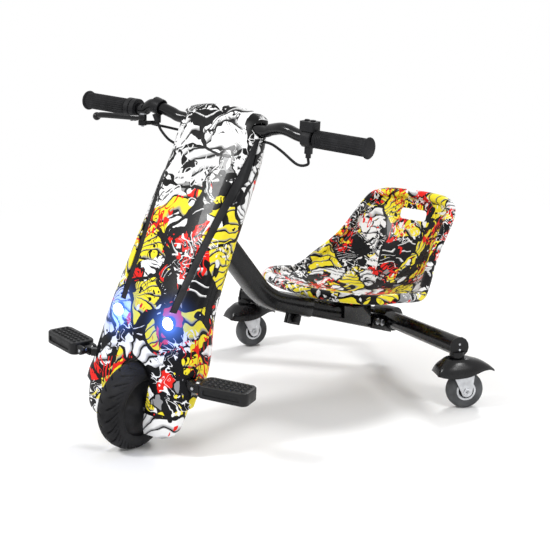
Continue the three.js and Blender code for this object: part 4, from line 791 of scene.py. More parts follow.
def peg_frame(side):
    heading = PEG_SWEEP if side > 0 else math.pi - PEG_SWEEP
    return front_frame() @ Matrix.Translation(on_side(PEG_HINGE, side)) @ Matrix.Rotation(heading, 4, "Z")


def caster_frame(side):
    place = Matrix.Translation((side * STEM_X, STEM_Y, 0))
    return rear_frame() @ place @ Matrix.Rotation(-CASTER_HEADINGS[side], 4, "Z")


# Shape tools
def pick_none():
    if bpy.context.object and bpy.context.object.mode != "OBJECT":
        bpy.ops.object.mode_set(mode="OBJECT")
    bpy.ops.object.select_all(action="DESELECT")


def pick(piece):
    pick_none()
    piece.select_set(True)
    bpy.context.view_layer.objects.active = piece
    return piece


def fresh(name):
    """The primitive that was just added, under its own name."""
    piece = bpy.context.object
    piece.name = name
    piece.data.name = name
    return piece


def applied(piece, place=None):
    """Applies a piece's own place, or a new one, to its mesh."""
    pick(piece)
    if place is not None:
        piece.matrix_world = place
    bpy.ops.object.transform_apply(location=True, rotation=True, scale=True)
    return piece


@contextlib.contextmanager
def editing(piece):
    """Edit mode, with the whole piece selected."""
    pick(piece)
    bpy.ops.object.mode_set(mode="EDIT")
    bpy.ops.mesh.select_all(action="SELECT")
    yield
    bpy.ops.object.mode_set(mode="OBJECT")


def tidy_mesh(piece, turn_out=True):
    """Joins doubled points, drops flat faces and turns the faces outwards."""
    with editing(piece):
        bpy.ops.mesh.remove_doubles(threshold=MERGE)
        bpy.ops.mesh.dissolve_degenerate(threshold=MERGE)
        if turn_out:
            bpy.ops.mesh.normals_make_consistent(inside=False)
    return piece


def close_ends(piece):
    """Caps the open ends of a tube."""
    with editing(piece):
        bpy.ops.mesh.remove_doubles(threshold=MERGE)
        bpy.ops.mesh.select_all(action="DESELECT")
        bpy.ops.mesh.select_non_manifold(extend=False)
        bpy.ops.mesh.edge_face_add()
        bpy.ops.mesh.select_all(action="SELECT")
        bpy.ops.mesh.normals_make_consistent(inside=False)
    return piece


def skin(name, columns, rows, place):
    """A grid laid out by a rule that takes two shares, across and along."""
    pick_none()
    bpy.ops.mesh.primitive_grid_add(x_subdivisions=columns, y_subdivisions=rows, size=2)
    piece = fresh(name)
    for point in piece.data.vertices:
        point.co = place((point.co.x + 1) / 2, (point.co.y + 1) / 2)
    return piece


def lathe(name, profile, steps):
    """A closed profile of radii and places turned about X."""
    last = len(profile) - 1

    def place(across, along):
        radius, x = profile[round(along * last)]
        turn = across * 2 * math.pi
        return Vector((x, radius * math.cos(turn), radius * math.sin(turn)))

    return tidy_mesh(skin(name, steps, last, place))


def steady_axes(points):
    """Two side directions at each point of a path, without twist."""
    axes = []
    side = None
    for i in range(len(points)):
        ahead = (points[min(i + 1, len(points) - 1)] - points[max(i - 1, 0)]).normalized()
        if side is None:
            side = ahead.orthogonal().normalized()
        side = (side - ahead * side.dot(ahead)).normalized()
        axes.append((side, ahead.cross(side)))
    return axes


def tube(name, points, radius, sides):
    """A round tube through points, with closed ends."""
    axes = steady_axes(points)
    last = len(points) - 1

    def place(across, along):
        i = round(along * last)
        turn = across * 2 * math.pi
        side, up = axes[i]
        return points[i] + radius * (math.cos(turn) * side + math.sin(turn) * up)

    return close_ends(skin(name, sides, last, place))


def smooth_path(points, steps):
    """A Catmull-Rom curve through points, at even steps along it."""
    places = [Vector(point) for point in points]
    places = [2 * places[0] - places[1], *places, 2 * places[-1] - places[-2]]
    fine = []
    for a, b, c, d in zip(places, places[1:], places[2:], places[3:]):
        for i in range(steps):
            t = i / steps
            fine.append(0.5 * (2 * b + (c - a) * t + (2 * a - 5 * b + 4 * c - d) * t ** 2
                               + (3 * b - a - 3 * c + d) * t ** 3))
    return fine + [places[-2]]


def smooth_row(table, key):
    """A row of a table at any key, on smooth curves through its rows."""
    keys = [row[0] for row in table]
    key = min(max(key, keys[0]), keys[-1])
    i = min(max(sum(k <= key for k in keys) - 1, 0), len(keys) - 2)
    t = (key - keys[i]) / (keys[i + 1] - keys[i])
    values = []
    for k in range(1, len(table[0])):
        here, there = table[i][k], table[i + 1][k]
        span = keys[i + 1] - keys[i]
        start = slope_at(table, i, k) * span
        end = slope_at(table, i + 1, k) * span
        values.append((2 * t ** 3 - 3 * t ** 2 + 1) * here + (t ** 3 - 2 * t ** 2 + t) * start
                      + (3 * t ** 2 - 2 * t ** 3) * there + (t ** 3 - t ** 2) * end)
    return values


def slope_at(table, i, k):
    low, high = max(i - 1, 0), min(i + 1, len(table) - 1)
    return (table[high][k] - table[low][k]) / (table[high][0] - table[low][0])


def modify(piece, kind, **settings):
    """Adds a modifier, sets it and applies it."""
    pick(piece)
    modifier = piece.modifiers.new(kind.lower(), kind)
    for setting, value in settings.items():
        setattr(modifier, setting, value)
    bpy.ops.object.modifier_apply(modifier=modifier.name)
    return piece


def rounded(piece, width, angle=0.6, segments=2):
    return modify(piece, "BEVEL", width=width, segments=segments, limit_method="ANGLE",
                  angle_limit=angle, use_clamp_overlap=True, harden_normals=False)


def carve(piece, *cutters, operation="DIFFERENCE"):
    """Cuts, joins or trims a piece with others, which are used up."""
    for cutter in cutters:
        modify(piece, "BOOLEAN", operation=operation, solver="EXACT", object=cutter)
        bpy.data.objects.remove(cutter)
    return piece


def block(name, size, centre=(0, 0, 0), edge=0.0, segments=2):
    """A box with rounded edges."""
    pick_none()
    bpy.ops.mesh.primitive_cube_add(size=1, location=centre, scale=size)
    piece = applied(fresh(name))
    return rounded(piece, edge, segments=segments) if edge else piece


def drum(name, radius, depth, centre=(0, 0, 0), axis="Z", sides=32, edge=0.0):
    """A round bar along an axis, with rounded rims."""
    turns = {"X": (0, math.pi / 2, 0), "Y": (math.pi / 2, 0, 0), "Z": (0, 0, 0)}
    pick_none()
    bpy.ops.mesh.primitive_cylinder_add(
        vertices=sides, radius=radius, depth=depth, location=centre, rotation=turns[axis])
    piece = applied(fresh(name))
    return rounded(piece, edge, angle=0.9) if edge else piece


def joined(name, *parts):
    pick_none()
    for part in parts:
        part.select_set(True)
    bpy.context.view_layer.objects.active = parts[0]
    bpy.ops.object.join()
    return fresh(name)


def carried(node):
    """A copy of a CAD node's mesh with its loose faces joined."""
    source = frame["nodes"][node]
    piece = bpy.data.objects.new(node + "_finish", source.data.copy())
    bpy.context.scene.collection.objects.link(piece)
    piece.data.materials.clear()
    return tidy_mesh(piece, turn_out=False)


def settle(piece, place, finish, angle=0.6):
    """Puts a piece in its place, applies it and gives it its finish."""
    applied(piece, place)
    bpy.ops.object.shade_smooth_by_angle(angle=angle)
    piece.data.materials.clear()
    piece.data.materials.append(bpy.data.materials[finish])
    return piece


def install(piece, body, slot, *nodes):
    """Makes a piece ride on a body, in place of CAD nodes."""
    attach(piece, body)
    if nodes:
        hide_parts(*nodes)
    return piece


def finish_copy(node, finish, edge, angle=0.6):
    """A CAD node with rounded edges and smooth faces, in its own place."""
    piece = carried(node)
    if edge:
        rounded(piece, edge, angle)
    settle(piece, Matrix.Identity(4), finish, angle)
    return install(piece, BODY_OF[node], SLOT_OF[finish], node)


# Material slot of each finish that a carried CAD piece may have
SLOT_OF = {
    "gloss_paint": "black_paint",
    "peg_plastic": "black_plastic",
    "satin_plastic": "black_plastic",
    "grip_rubber": "rubber",
    "bright_steel": "steel",
    "cast_metal": "alloy",
    "shrink_wrap": "battery",
}


def mix(low, high, share):
    return low + (high - low) * share


def prism(name, outline, start, end):
    """An outline in X and Z made thick along Y."""
    pick_none()
    bpy.ops.mesh.primitive_circle_add(vertices=len(outline), radius=1, fill_type="NGON")
    piece = fresh(name)
    for point, (x, z) in zip(piece.data.vertices, outline):
        point.co = (x, start, z)
    with editing(piece):
        bpy.ops.mesh.extrude_region_move(TRANSFORM_OT_translate={"value": (0, end - start, 0)})
    return tidy_mesh(piece)


def level_bar(name, start, end, thickness, height, edge=0.0):
    """A level bar of rectangular section between two places."""
    line = end - start
    piece = block(name, (line.length, thickness, height), edge=edge)
    turn = Matrix.Rotation(math.atan2(line.y, line.x), 4, "Z")
    return applied(piece, Matrix.Translation((start + end) / 2) @ turn)


# Shell: where its crown starts, how round it is, its share of the rows, and how softly two widths blend
CROWN_START = 0.962
CROWN_POWER = 2.4
CROWN_ROWS_SHARE = 0.12
SOFT_MINIMUM = 8
JUST_UNDER_ONE = 0.999999


def power_of(value, exponent):
    return math.copysign(abs(value) ** (2 / exponent), value)


def shell_row(along, inset):
    """Middle, reach ahead and behind, half width and height of one level ring."""
    crown = max(0.0, (along - 1 + CROWN_ROWS_SHARE) / CROWN_ROWS_SHARE) * math.pi / 2
    plain = min(along / (1 - CROWN_ROWS_SHARE), 1.0) * CROWN_START
    height = plain + (1 - CROWN_START) * power_of(math.sin(crown), CROWN_POWER)
    shrink = power_of(math.cos(crown), CROWN_POWER)
    lean, depth, width = smooth_row(SHELL_SHARES, height)
    if height < FOOT_SHARES[-1][0]:
        foot = smooth_row(FOOT_SHARES, height)[0]
        width = (width ** -SOFT_MINIMUM + foot ** -SOFT_MINIMUM) ** (-1 / SOFT_MINIMUM)
    depth *= SHELL_DEPTH
    middle = SHELL_FOOT_Y + lean * SHELL_LEAN + SPLIT_SHARE * depth
    return (
        middle,
        max(SPLIT_SHARE * depth - inset, 0) * shrink,
        max((1 - SPLIT_SHARE) * depth - inset, 0) * shrink,
        (width * SHELL_HALF_WIDTH - inset) * shrink,
        SHELL_FOOT_Z + height * SHELL_HEIGHT - inset * (height > CROWN_START),
    )


def even_turn(share):
    """Turns a share of a half ring so that its points lie evenly round corners."""
    quarter, part = divmod(min(share, JUST_UNDER_ONE) * 2, 1)
    power = SHELL_EXPONENT / 2
    return (quarter + part ** power / (part ** power + (1 - part) ** power)) * math.pi / 2


def shell_half(name, side, inset=0.0, columns=48, rows=96):
    """The front half of the shell's skin, or the rear half, turned to face out."""

    def place(across, along):
        middle, ahead, behind, half, z = shell_row(along, inset)
        turn = even_turn(across)
        reach = behind if side > 0 else ahead
        y = middle + side * (GAP / 2 + reach * power_of(math.sin(turn), SHELL_EXPONENT))
        return Vector((-side * half * power_of(math.cos(turn), SHELL_EXPONENT), y, z))

    piece = tidy_mesh(skin(name, columns, rows, place), turn_out=False)
    centre = piece.data.polygons[columns * rows // 2 + columns // 2]
    if centre.normal.y * side < 0:
        with editing(piece):
            bpy.ops.mesh.flip_normals()
    return piece


def shell_face(height, ahead=True):
    """Y of the shell's front or back on its middle line at a real height."""
    lean, depth = smooth_row(SHELL_SHARES, (height - SHELL_FOOT_Z) / SHELL_HEIGHT)[:2]
    front = SHELL_FOOT_Y + lean * SHELL_LEAN
    return front if ahead else front + depth * SHELL_DEPTH


def arch_outline(grow, foot, steps=16):
    half = ARCH_HALF_WIDTH + grow
    points = [(-half, foot), (half, foot)]
    for i in range(steps + 1):
        turn = i / steps * math.pi
        points.append((half * math.cos(turn), ARCH_SHOULDER + half * math.sin(turn)))
    return points


def groove_outline(side, width):
    places = [
        (side * across * SHELL_HALF_WIDTH, SHELL_FOOT_Z + up * SHELL_HEIGHT)
        for up, across in GROOVE_SHARES
    ]
    low = [(x - side * width / 2, z) for x, z in places]
    high = [(x + side * width / 2, z) for x, z in reversed(places)]
    return low + high


def groove_cutter(side, width):
    reach = SHELL_FOOT_Y + SHELL_LEAN + SHELL_DEPTH
    return prism("groove_cutter", groove_outline(side, width), SHELL_FOOT_Y - SHELL_DEPTH, reach)


def lamp_cutter(side, clearance):
    place = (side * LAMP_X, SHELL_FOOT_Y + SHELL_DEPTH / 2, LAMP_Z)
    return drum("lamp_cutter", LAMP_RADIUS + clearance, SHELL_DEPTH, place, "Y", sides=48)


def arch_cutter():
    back = WHEEL_Y + WHEEL_RADIUS + WELL_CLEARANCE
    foot = SHELL_FOOT_Z - SHELL_WALL * 2
    return prism("arch_cutter", arch_outline(0, foot), WHEEL_Y - 2 * WHEEL_RADIUS, back)


def arm_cutter(side):
    inner, hinge = on_side(BRACKET_INNER, side), on_side(PEG_HINGE, side)
    grow = 4 * GAP
    return level_bar("arm_cutter", inner, hinge, BRACKET_ARM_THICKNESS + grow, BRACKET_ARM_HEIGHT + grow)


def bar_cutter(side):
    place = (side * SHELL_HALF_WIDTH, BAR_CENTRE_Y, BAR_Z + BAR_SHARES[0][2] * BAR_RISE)
    return drum("bar_cutter", BAR_RADIUS + WELL_WALL, SHELL_HALF_WIDTH, place, "X", sides=40)


def window_cutter():
    tall = WINDOW_TOP - WINDOW_BOTTOM
    centre = (0, SHELL_DEPTH / 2, WINDOW_BOTTOM + tall / 2)
    piece = block("window_cutter", (2 * WINDOW_HALF_WIDTH, SHELL_DEPTH, tall), centre)
    return applied(piece, steering_frame())


def inlet_cutter():
    place = (0, shell_face(INLET_Z, ahead=False), INLET_Z)
    return drum("inlet_cutter", INLET_RADIUS + GAP, SHELL_DEPTH / 2, place, "Y", sides=40)


def shell_cover(name, side, *cutters):
    """One moulded cover: a skin with its wall, its openings and softened edges."""
    piece = shell_half(name, side)
    modify(piece, "SOLIDIFY", thickness=SHELL_WALL, offset=-1, use_even_offset=True)
    tidy_mesh(piece, turn_out=False)
    arms, bars = [arm_cutter(way) for way in SIDES], [bar_cutter(way) for way in SIDES]
    carve(piece, arch_cutter(), *arms, *bars, *cutters)
    rounded(piece, sizes().edge, angle=0.8)
    return settle(piece, front_frame(), "shell_print", angle=0.7)


def groove_strip(side):
    """The dark strip set into the bottom of a groove."""
    piece = shell_half(f"groove_strip_{SIDE_NAME[side]}", side=-1, inset=TRIM_RECESS, columns=48, rows=60)
    modify(piece, "SOLIDIFY", thickness=TRIM_THICKNESS, offset=-1, use_even_offset=True)
    tidy_mesh(piece, turn_out=False)
    carve(piece, groove_cutter(side, GROOVE_WIDTH - 2 * GAP), operation="INTERSECT")
    carve(piece, lamp_cutter(side, 2 * GAP))
    return settle(piece, front_frame(), "satin_plastic", angle=0.7)


def wheel_arch():
    """Dark liner round the front wheel, open at the front and below."""
    radius = WHEEL_RADIUS + WELL_CLEARANCE
    half = ARCH_HALF_WIDTH
    straight = ARCH_SHOULDER - SHELL_FOOT_Z
    round_length = math.pi * half
    whole = 2 * straight + round_length

    def behind(z):
        up = max(z - WHEEL_RADIUS, 0)
        return WHEEL_Y + math.sqrt(max(radius ** 2 - up ** 2, 0))

    def wall(across, along):
        run = across * whole
        if run < straight:
            x, z = -half, SHELL_FOOT_Z + run
        elif run > straight + round_length:
            x, z = half, SHELL_FOOT_Z + whole - run
        else:
            turn = math.pi * (1 - (run - straight) / round_length)
            x, z = half * math.cos(turn), ARCH_SHOULDER + half * math.sin(turn)
        front = shell_face(max(z, SHELL_FOOT_Z)) + WELL_WALL
        rear = min(behind(z), shell_face(max(z, SHELL_FOOT_Z), ahead=False) - SHELL_WALL - WELL_WALL)
        return Vector((x, mix(front, max(rear, front + GAP), along), z))

    def back(across, along):
        z = mix(ARCH_SHOULDER, ARCH_TOP, along)
        wide = math.sqrt(max(half ** 2 - (z - ARCH_SHOULDER) ** 2, 0))
        return Vector((mix(-wide, wide, across), behind(z), z))

    piece = joined("wheel_arch_liner", skin("arch_wall", 72, 20, wall), skin("arch_back", 24, 12, back))
    tidy_mesh(piece, turn_out=False)
    modify(piece, "SOLIDIFY", thickness=WELL_WALL / 2, offset=0)
    carve(piece, drum("axle_cutter", AXLE_SLOT_RADIUS, 4 * half, (0, WHEEL_Y, WHEEL_RADIUS), "X"))
    return settle(piece, front_frame(), "satin_plastic")


class TRICYCLE_OT_shell(bpy.types.Operator):
    """Model the two printed covers, the groove strips and the wheel arch"""

    bl_idname = "tricycle.shell"
    bl_label = "Shell"

    def execute(self, context):
        bands = [groove_cutter(side, GROOVE_WIDTH) for side in SIDES]
        lamps = [lamp_cutter(side, GAP) for side in SIDES]
        front = shell_cover("printed_front_cover", -1, *bands, *lamps)
        install(front, "front_column", "print", "front_cover")
        rear = shell_cover("printed_rear_cover", 1, window_cutter(), inlet_cutter())
        install(rear, "front_column", "print", "rear_cover")
        for side in SIDES:
            install(groove_strip(side), "front_column", "black_plastic", f"groove_trim_{SIDE_NAME[side]}")
        install(wheel_arch(), "front_column", "black_plastic")
        return {"FINISHED"}


# Pieces that keep the CAD model's shape, with softened edges: node, finish
PLAIN_PIECES = (
    ("charge_inlet", "satin_plastic"),
    ("fork", "gloss_paint"),
    ("stem", "gloss_paint"),
    ("headset_nut", "bright_steel"),
    ("battery_pack", "shrink_wrap"),
    ("motor_controller", "cast_metal"),
    # The hub motor's near-black alloy is painted shade inside the front wheel
    ("hub_motor", "cast_metal"),
    ("front_axle", "bright_steel"),
    ("axle_nut_left", "bright_steel"),
    ("axle_nut_right", "bright_steel"),
    ("brake_perch", "satin_plastic"),
    ("lever_pin", "bright_steel"),
    ("switch_pod", "satin_plastic"),
    ("power_button", "grip_rubber"),
    ("mode_button", "grip_rubber"),
    ("peg_bracket_left", "gloss_paint"),
    ("peg_bracket_right", "gloss_paint"),
    ("peg_pin_left", "bright_steel"),
    ("peg_pin_right", "bright_steel"),
    ("main_frame", "gloss_paint"),
    ("clamp_bolt", "satin_plastic"),
    ("lower_bearing", "bright_steel"),
    ("upper_bearing", "bright_steel"),
    ("slide_tube", "gloss_paint"),
    ("crossbar", "gloss_paint"),
    ("crossbar_yoke", "gloss_paint"),
    ("yoke_bolt_1", "bright_steel"),
    ("yoke_bolt_2", "bright_steel"),
    ("end_cap_left", "peg_plastic"),
    ("end_cap_right", "peg_plastic"),
    ("seat_bracket", "gloss_paint"),
)


def cap_screws(side):
    """Two small screws in the end cap of the crossbar."""
    end = on_side(ARM_END, side)
    out = (end - ARM_APEX).normalized()
    face = end + out * (GAP + CAP_THICKNESS)
    screws = [
        drum("cap_screw", CAP_SCREW_RADIUS, 2 * CAP_SCREW_PROUD, (0, way * CAP_SCREW_SPREAD, 0), "Z", 20)
        for way in SIDES
    ]
    piece = joined(f"end_cap_screws_{SIDE_NAME[side]}", *screws)
    turn = out.to_track_quat("Z", "Y").to_matrix().to_4x4()
    return settle(piece, rear_frame() @ Matrix.Translation(face) @ turn, "bright_steel", angle=0.5)


class TRICYCLE_OT_plain_parts(bpy.types.Operator):
    """Soften and paint the pieces whose CAD shape is already right"""

    bl_idname = "tricycle.plain_parts"
    bl_label = "Plain pieces"

    def execute(self, context):
        for node, finish in PLAIN_PIECES:
            finish_copy(node, finish, sizes().fine_edge)
        for side in SIDES:
            install(cap_screws(side), BODY_OF[f"end_cap_{SIDE_NAME[side]}"], "steel")
        return {"FINISHED"}


# Seat
def seat_point(along, across):
    """A place on the seat's upper skin: along from 0 to 1, across from -1 to 1."""
    row = along * SEAT_RIM_SHARES[-1][0]
    middle_y, middle_z = smooth_row(SEAT_MIDDLE_SHARES, row)
    rim_x, rim_y, rim_z = smooth_row(SEAT_RIM_SHARES, row)
    blend = abs(across) ** SEAT_BULGE
    return Vector((
        across * rim_x * SEAT_HALF_WIDTH,
        SEAT_FRONT_Y + mix(middle_y, rim_y, blend) * SEAT_LENGTH,
        SEAT_FLOOR_Z + mix(middle_z, rim_z, blend) * SEAT_RISE,
    ))


def seat_edge(steps=48):
    """Places all the way round the edge of the seat's skin."""
    shares = [i / steps for i in range(steps)]
    front = [(0, 2 * share - 1) for share in shares]
    right = [(share, 1) for share in shares]
    back = [(1, 1 - 2 * share) for share in shares]
    left = [(1 - share, -1) for share in shares]
    places = [seat_point(*at) for at in front + right + back + left]
    return [point - Vector((0, 0, SEAT_WALL / 2)) for point in places]


def seat_foot(skin_piece, side, way):
    """A round foot from the bracket's plate up into the skin."""
    x = side * BOSS_SPACING[0] / 2
    y = SEAT_PLATE_Y + way * BOSS_SPACING[1] / 2
    above = min(skin_piece.data.vertices, key=lambda point: (point.co.x - x) ** 2 + (point.co.y - y) ** 2)
    bottom = SEAT_PLATE_TOP + GAP
    top = above.co.z - SEAT_WALL / 2
    return drum("seat_foot", BOSS_RADIUS, top - bottom, (x, y, (top + bottom) / 2))


class TRICYCLE_OT_seat(bpy.types.Operator):
    """Model the moulded bucket seat with its rolled rim, its feet and its handle slot"""

    bl_idname = "tricycle.seat"
    bl_label = "Seat"

    def execute(self, context):
        sheet = skin("seat_sheet", 72, 96, lambda across, along: seat_point(along, 2 * across - 1))
        feet = [seat_foot(sheet, side, way) for side in SIDES for way in SIDES]
        modify(sheet, "SOLIDIFY", thickness=SEAT_WALL, offset=-1)
        edge = seat_edge()
        rim = tube("seat_rim", edge + edge[:2], SEAT_RIM_RADIUS, sides=24)
        piece = joined("printed_seat", sheet, rim, *feet)
        modify(piece, "REMESH", mode="VOXEL", voxel_size=sizes().seat_voxel)
        modify(piece, "SMOOTH", factor=0.5, iterations=6)
        slot_place = (0, SEAT_FRONT_Y + SEAT_LENGTH, SEAT_FLOOR_Z + SEAT_RISE - SLOT_BELOW_TOP)
        slot = block("slot_cutter", (2 * SLOT_HALF_WIDTH, SEAT_LENGTH / 2, SLOT_HEIGHT), slot_place)
        carve(piece, rounded(slot, SLOT_HEIGHT / 3, segments=5))
        settle(piece, rear_frame(), "seat_print", angle=0.9)
        install(piece, BODY_OF["seat_shell"], "print", "seat_shell")
        return {"FINISHED"}


# Front wheel: its skin runs from bead to bead over the crown, and the rest of its rows close the inside
TYRE_TURN = math.radians(118)
TYRE_COLUMNS = 352
TYRE_ROWS = 60
TYRE_SKIN_SHARE = 0.94
TYRE_BULGE = 0.027
TYRE_WIDEST_SHARE = 0.28
TYRE_CROWN_POWER = 0.92

# Tread grooves: where they start and end, how they sweep back, how they fade out at both ends, their walls
GROOVE_REACH = (0.07, 0.86)
GROOVE_SWEEP = 0.55
GROOVE_CURVE = 1.5
GROOVE_FADES = (0.1, 0.12)
GROOVE_SLOPE = 2.4

# The short grooves between them: where they start, and their share of the width
SHORT_GROOVE = (0.42, 0.6)


def wheel_frame():
    return front_frame() @ Matrix.Translation((0, WHEEL_Y, WHEEL_RADIUS))


def tyre_section(share):
    """Place across and radius of the tyre's skin, from one bead over the crown to the other."""
    turn = (2 * share - 1) * TYRE_TURN
    widest = mix(TYRE_BEAD_RADIUS, WHEEL_RADIUS, TYRE_WIDEST_SHARE)
    rise = math.cos(turn)
    if rise > 0:
        radius = mix(widest, WHEEL_RADIUS, rise ** TYRE_CROWN_POWER)
    else:
        radius = mix(widest, TYRE_BEAD_RADIUS, rise / math.cos(TYRE_TURN))
    return TYRE_BULGE * math.sin(turn), radius


def groove_depth(around, share):
    """How deep the tread is cut: swept grooves that alternate from side to side."""
    lean = (2 * share - 1) * TYRE_TURN / (math.pi / 2)
    reach = abs(lean)
    low, high = GROOVE_REACH
    if not low < reach < high:
        return 0
    pitch = 2 * math.pi / sizes().tread_count
    start = GROOVE_SWEEP * reach ** GROOVE_CURVE + (pitch / 2 if lean > 0 else 0)
    depth = 0
    for offset, first, size in ((0, low, 1), (pitch / 2, *SHORT_GROOVE)):
        away = (around + start + offset + pitch / 2) % pitch - pitch / 2
        gap = abs(away) * WHEEL_RADIUS / (sizes().tread_width * size)
        ends = min((reach - first) / GROOVE_FADES[0], (high - reach) / GROOVE_FADES[1], 1)
        if gap < 1 and ends > 0:
            depth = max(depth, sizes().tread_depth * min((1 - gap) * GROOVE_SLOPE, 1) * ends)
    return depth


def front_tyre():
    def place(across, along):
        around = across * 2 * math.pi
        if along > TYRE_SKIN_SHARE:
            inner = (along - TYRE_SKIN_SHARE) / (1 - TYRE_SKIN_SHARE)
            start, end = tyre_section(1)[0], tyre_section(0)[0]
            x, radius = mix(start, end, inner), TYRE_BEAD_RADIUS
        else:
            share = along / TYRE_SKIN_SHARE
            x, radius = tyre_section(share)
            radius -= groove_depth(around, share) * max(math.cos((2 * share - 1) * TYRE_TURN), 0) ** 0.5
        return Vector((x, radius * math.cos(around), radius * math.sin(around)))

    piece = tidy_mesh(skin("front_tyre_tread", TYRE_COLUMNS, TYRE_ROWS, place))
    return settle(piece, wheel_frame(), "tyre_rubber", angle=0.9)


class TRICYCLE_OT_front_tyre(bpy.types.Operator):
    """Model the front tyre with its swept tread grooves"""

    bl_idname = "tricycle.front_tyre"
    bl_label = "Front tyre"

    def execute(self, context):
        install(front_tyre(), "front_wheel", "front_tyre", "front_tyre")
        return {"FINISHED"}


# Headlights
def lamp_frame(side):
    return front_frame() @ Matrix.Translation((side * LAMP_X, shell_face(LAMP_Z), LAMP_Z))


def turned_ahead(piece, side, finish):
    """Puts a piece turned about X on a lamp's own axis, which points back."""
    return settle(piece, lamp_frame(side) @ Matrix.Rotation(math.pi / 2, 4, "Z"), finish)


def lamp_lens(side):
    steps = 10
    turns = [i / steps * math.pi / 2 for i in range(steps + 1)]
    dome = [(LENS_RADIUS * math.sin(turn), -LENS_DOME * math.cos(turn)) for turn in turns]
    back = LENS_LENGTH - LENS_DOME
    profile = dome + [(LENS_RADIUS, back), (0, back)]
    return turned_ahead(lathe(f"lit_lens_{SIDE_NAME[side]}", profile, steps=48), side, "lit_lens")


def lamp_cup(side):
    """The cup round a lens: a rounded rim, a stepped bezel and a closed back."""
    pocket = LENS_LENGTH - LENS_DOME + GAP
    inner = LENS_RADIUS + GAP
    lip = (LAMP_RADIUS - inner) / 3
    profile = [
        (0, pocket), (inner, pocket), (inner, lip), (inner + lip, 0), (LAMP_RADIUS - lip, 0),
        (LAMP_RADIUS, lip), (LAMP_RADIUS, LAMP_LENGTH), (0, LAMP_LENGTH),
    ]
    return turned_ahead(lathe(f"lamp_cup_{SIDE_NAME[side]}", profile, steps=48), side, "cup_plastic")


def lamp_glow(side, lens):
    """The blue light that a lamp throws on the print round it."""
    data = bpy.data.lights.new(f"lamp_glow_{SIDE_NAME[side]}", "POINT")
    data.energy = GLOW_POWER
    data.color = GLOW_COLOUR
    data.shadow_soft_size = LENS_RADIUS
    lamp = bpy.data.objects.new(data.name, data)
    bpy.context.scene.collection.objects.link(lamp)
    lamp.location = lamp_frame(side) @ Vector((0, -GLOW_DISTANCE, 0))
    lamp.parent = lens


class TRICYCLE_OT_headlights(bpy.types.Operator):
    """Model the two lit headlights in their cups"""

    bl_idname = "tricycle.headlights"
    bl_label = "Headlights"

    def execute(self, context):
        for side in SIDES:
            lens = lamp_lens(side)
            install(lens, "front_column", "lens", f"headlight_lens_{SIDE_NAME[side]}")
            install(lamp_cup(side), "front_column", "black_plastic", f"headlight_housing_{SIDE_NAME[side]}")
            lamp_glow(side, lens)
        return {"FINISHED"}


# Hand controls
GRIP_FLANGE = GRIP_END_WALL * 1.5
GRIP_RING_PITCH = 0.0036
GRIP_RINGS = (2, 5)
RIB_STEPS = 4

# Throttle housing, in shares of its length and its radius: size and place of the lobe, place of the screws
LOBE_SIZE = (0.72, 0.7)
LOBE_PLACE = (0.12, 0.9)
LOBE_SCREW_PLACE = 1.25


def grip_profile(rings):
    """Radii and places of a closed-ended grip: rings at the root, a plain barrel, an end flange."""
    length = BAR_HALF_LENGTH + GAP + GRIP_END_WALL - GRIP_INNER
    depth = sizes().rib_depth
    bore = BAR_RADIUS + GAP
    profile = [(0, length - GRIP_END_WALL), (bore, length - GRIP_END_WALL), (bore, 0)]
    for i in range(rings):
        for share, height in ((0.1, -1), (0.3, 1), (0.7, 1), (0.9, -1)):
            profile.append((GRIP_RADIUS + height * depth, (i + share) * GRIP_RING_PITCH))
    profile.append((GRIP_RADIUS, rings * GRIP_RING_PITCH))
    profile.append((GRIP_RADIUS, length - 2 * GRIP_FLANGE))
    rim = GRIP_FLANGE / 2
    for i in range(7):
        turn = i / 6 * math.pi
        profile.append((GRIP_END_RADIUS - rim + rim * math.sin(turn), length - rim - rim * math.cos(turn)))
    profile.append((0, length))
    return profile


def grip(side, rings):
    """A rubber grip whose barrel has fine ribs along its length."""
    points = RIB_STEPS * sizes().rib_count
    piece = lathe(f"ribbed_grip_{SIDE_NAME[side]}", grip_profile(rings), points)
    for point in piece.data.vertices:
        across = math.hypot(point.co.y, point.co.z)
        if abs(across - GRIP_RADIUS) < GAP / 10:
            step = round(math.atan2(point.co.z, point.co.y) / math.tau * points) % RIB_STEPS
            raised = 1 + (1 if step < RIB_STEPS / 2 else -1) * sizes().rib_depth / GRIP_RADIUS
            point.co.y *= raised
            point.co.z *= raised
    turn = Matrix.Rotation(0 if side > 0 else math.pi, 4, "Y")
    place = front_frame() @ Matrix.Translation((side * GRIP_INNER, BAR_Y, BAR_Z)) @ turn
    return settle(piece, place, "grip_rubber", angle=0.5)


def bar_point(side, row):
    reach, offset, rise = row
    return Vector((side * reach * BAR_STRAIGHT, mix(BAR_CENTRE_Y, BAR_Y, offset), BAR_Z + rise * BAR_RISE))


def handlebar():
    """One bent tube, straight under the grips."""
    right = [bar_point(-1, row) for row in reversed(BAR_SHARES)]
    left = [bar_point(1, row) for row in POD_SIDE_SHARES]
    ends = [Vector((side * BAR_HALF_LENGTH, BAR_Y, BAR_Z)) for side in (-1, 1)]
    piece = tube("bent_handlebar", [ends[0], *smooth_path(right + left, 10), ends[1]], BAR_RADIUS, sides=40)
    return settle(piece, front_frame(), "gloss_paint", angle=0.8)


def cable(node, route):
    piece = tube(f"smooth_{node}", smooth_path(route, steps=10), CABLE_RADIUS, sides=16)
    return settle(piece, front_frame(), "grip_rubber", angle=0.9)


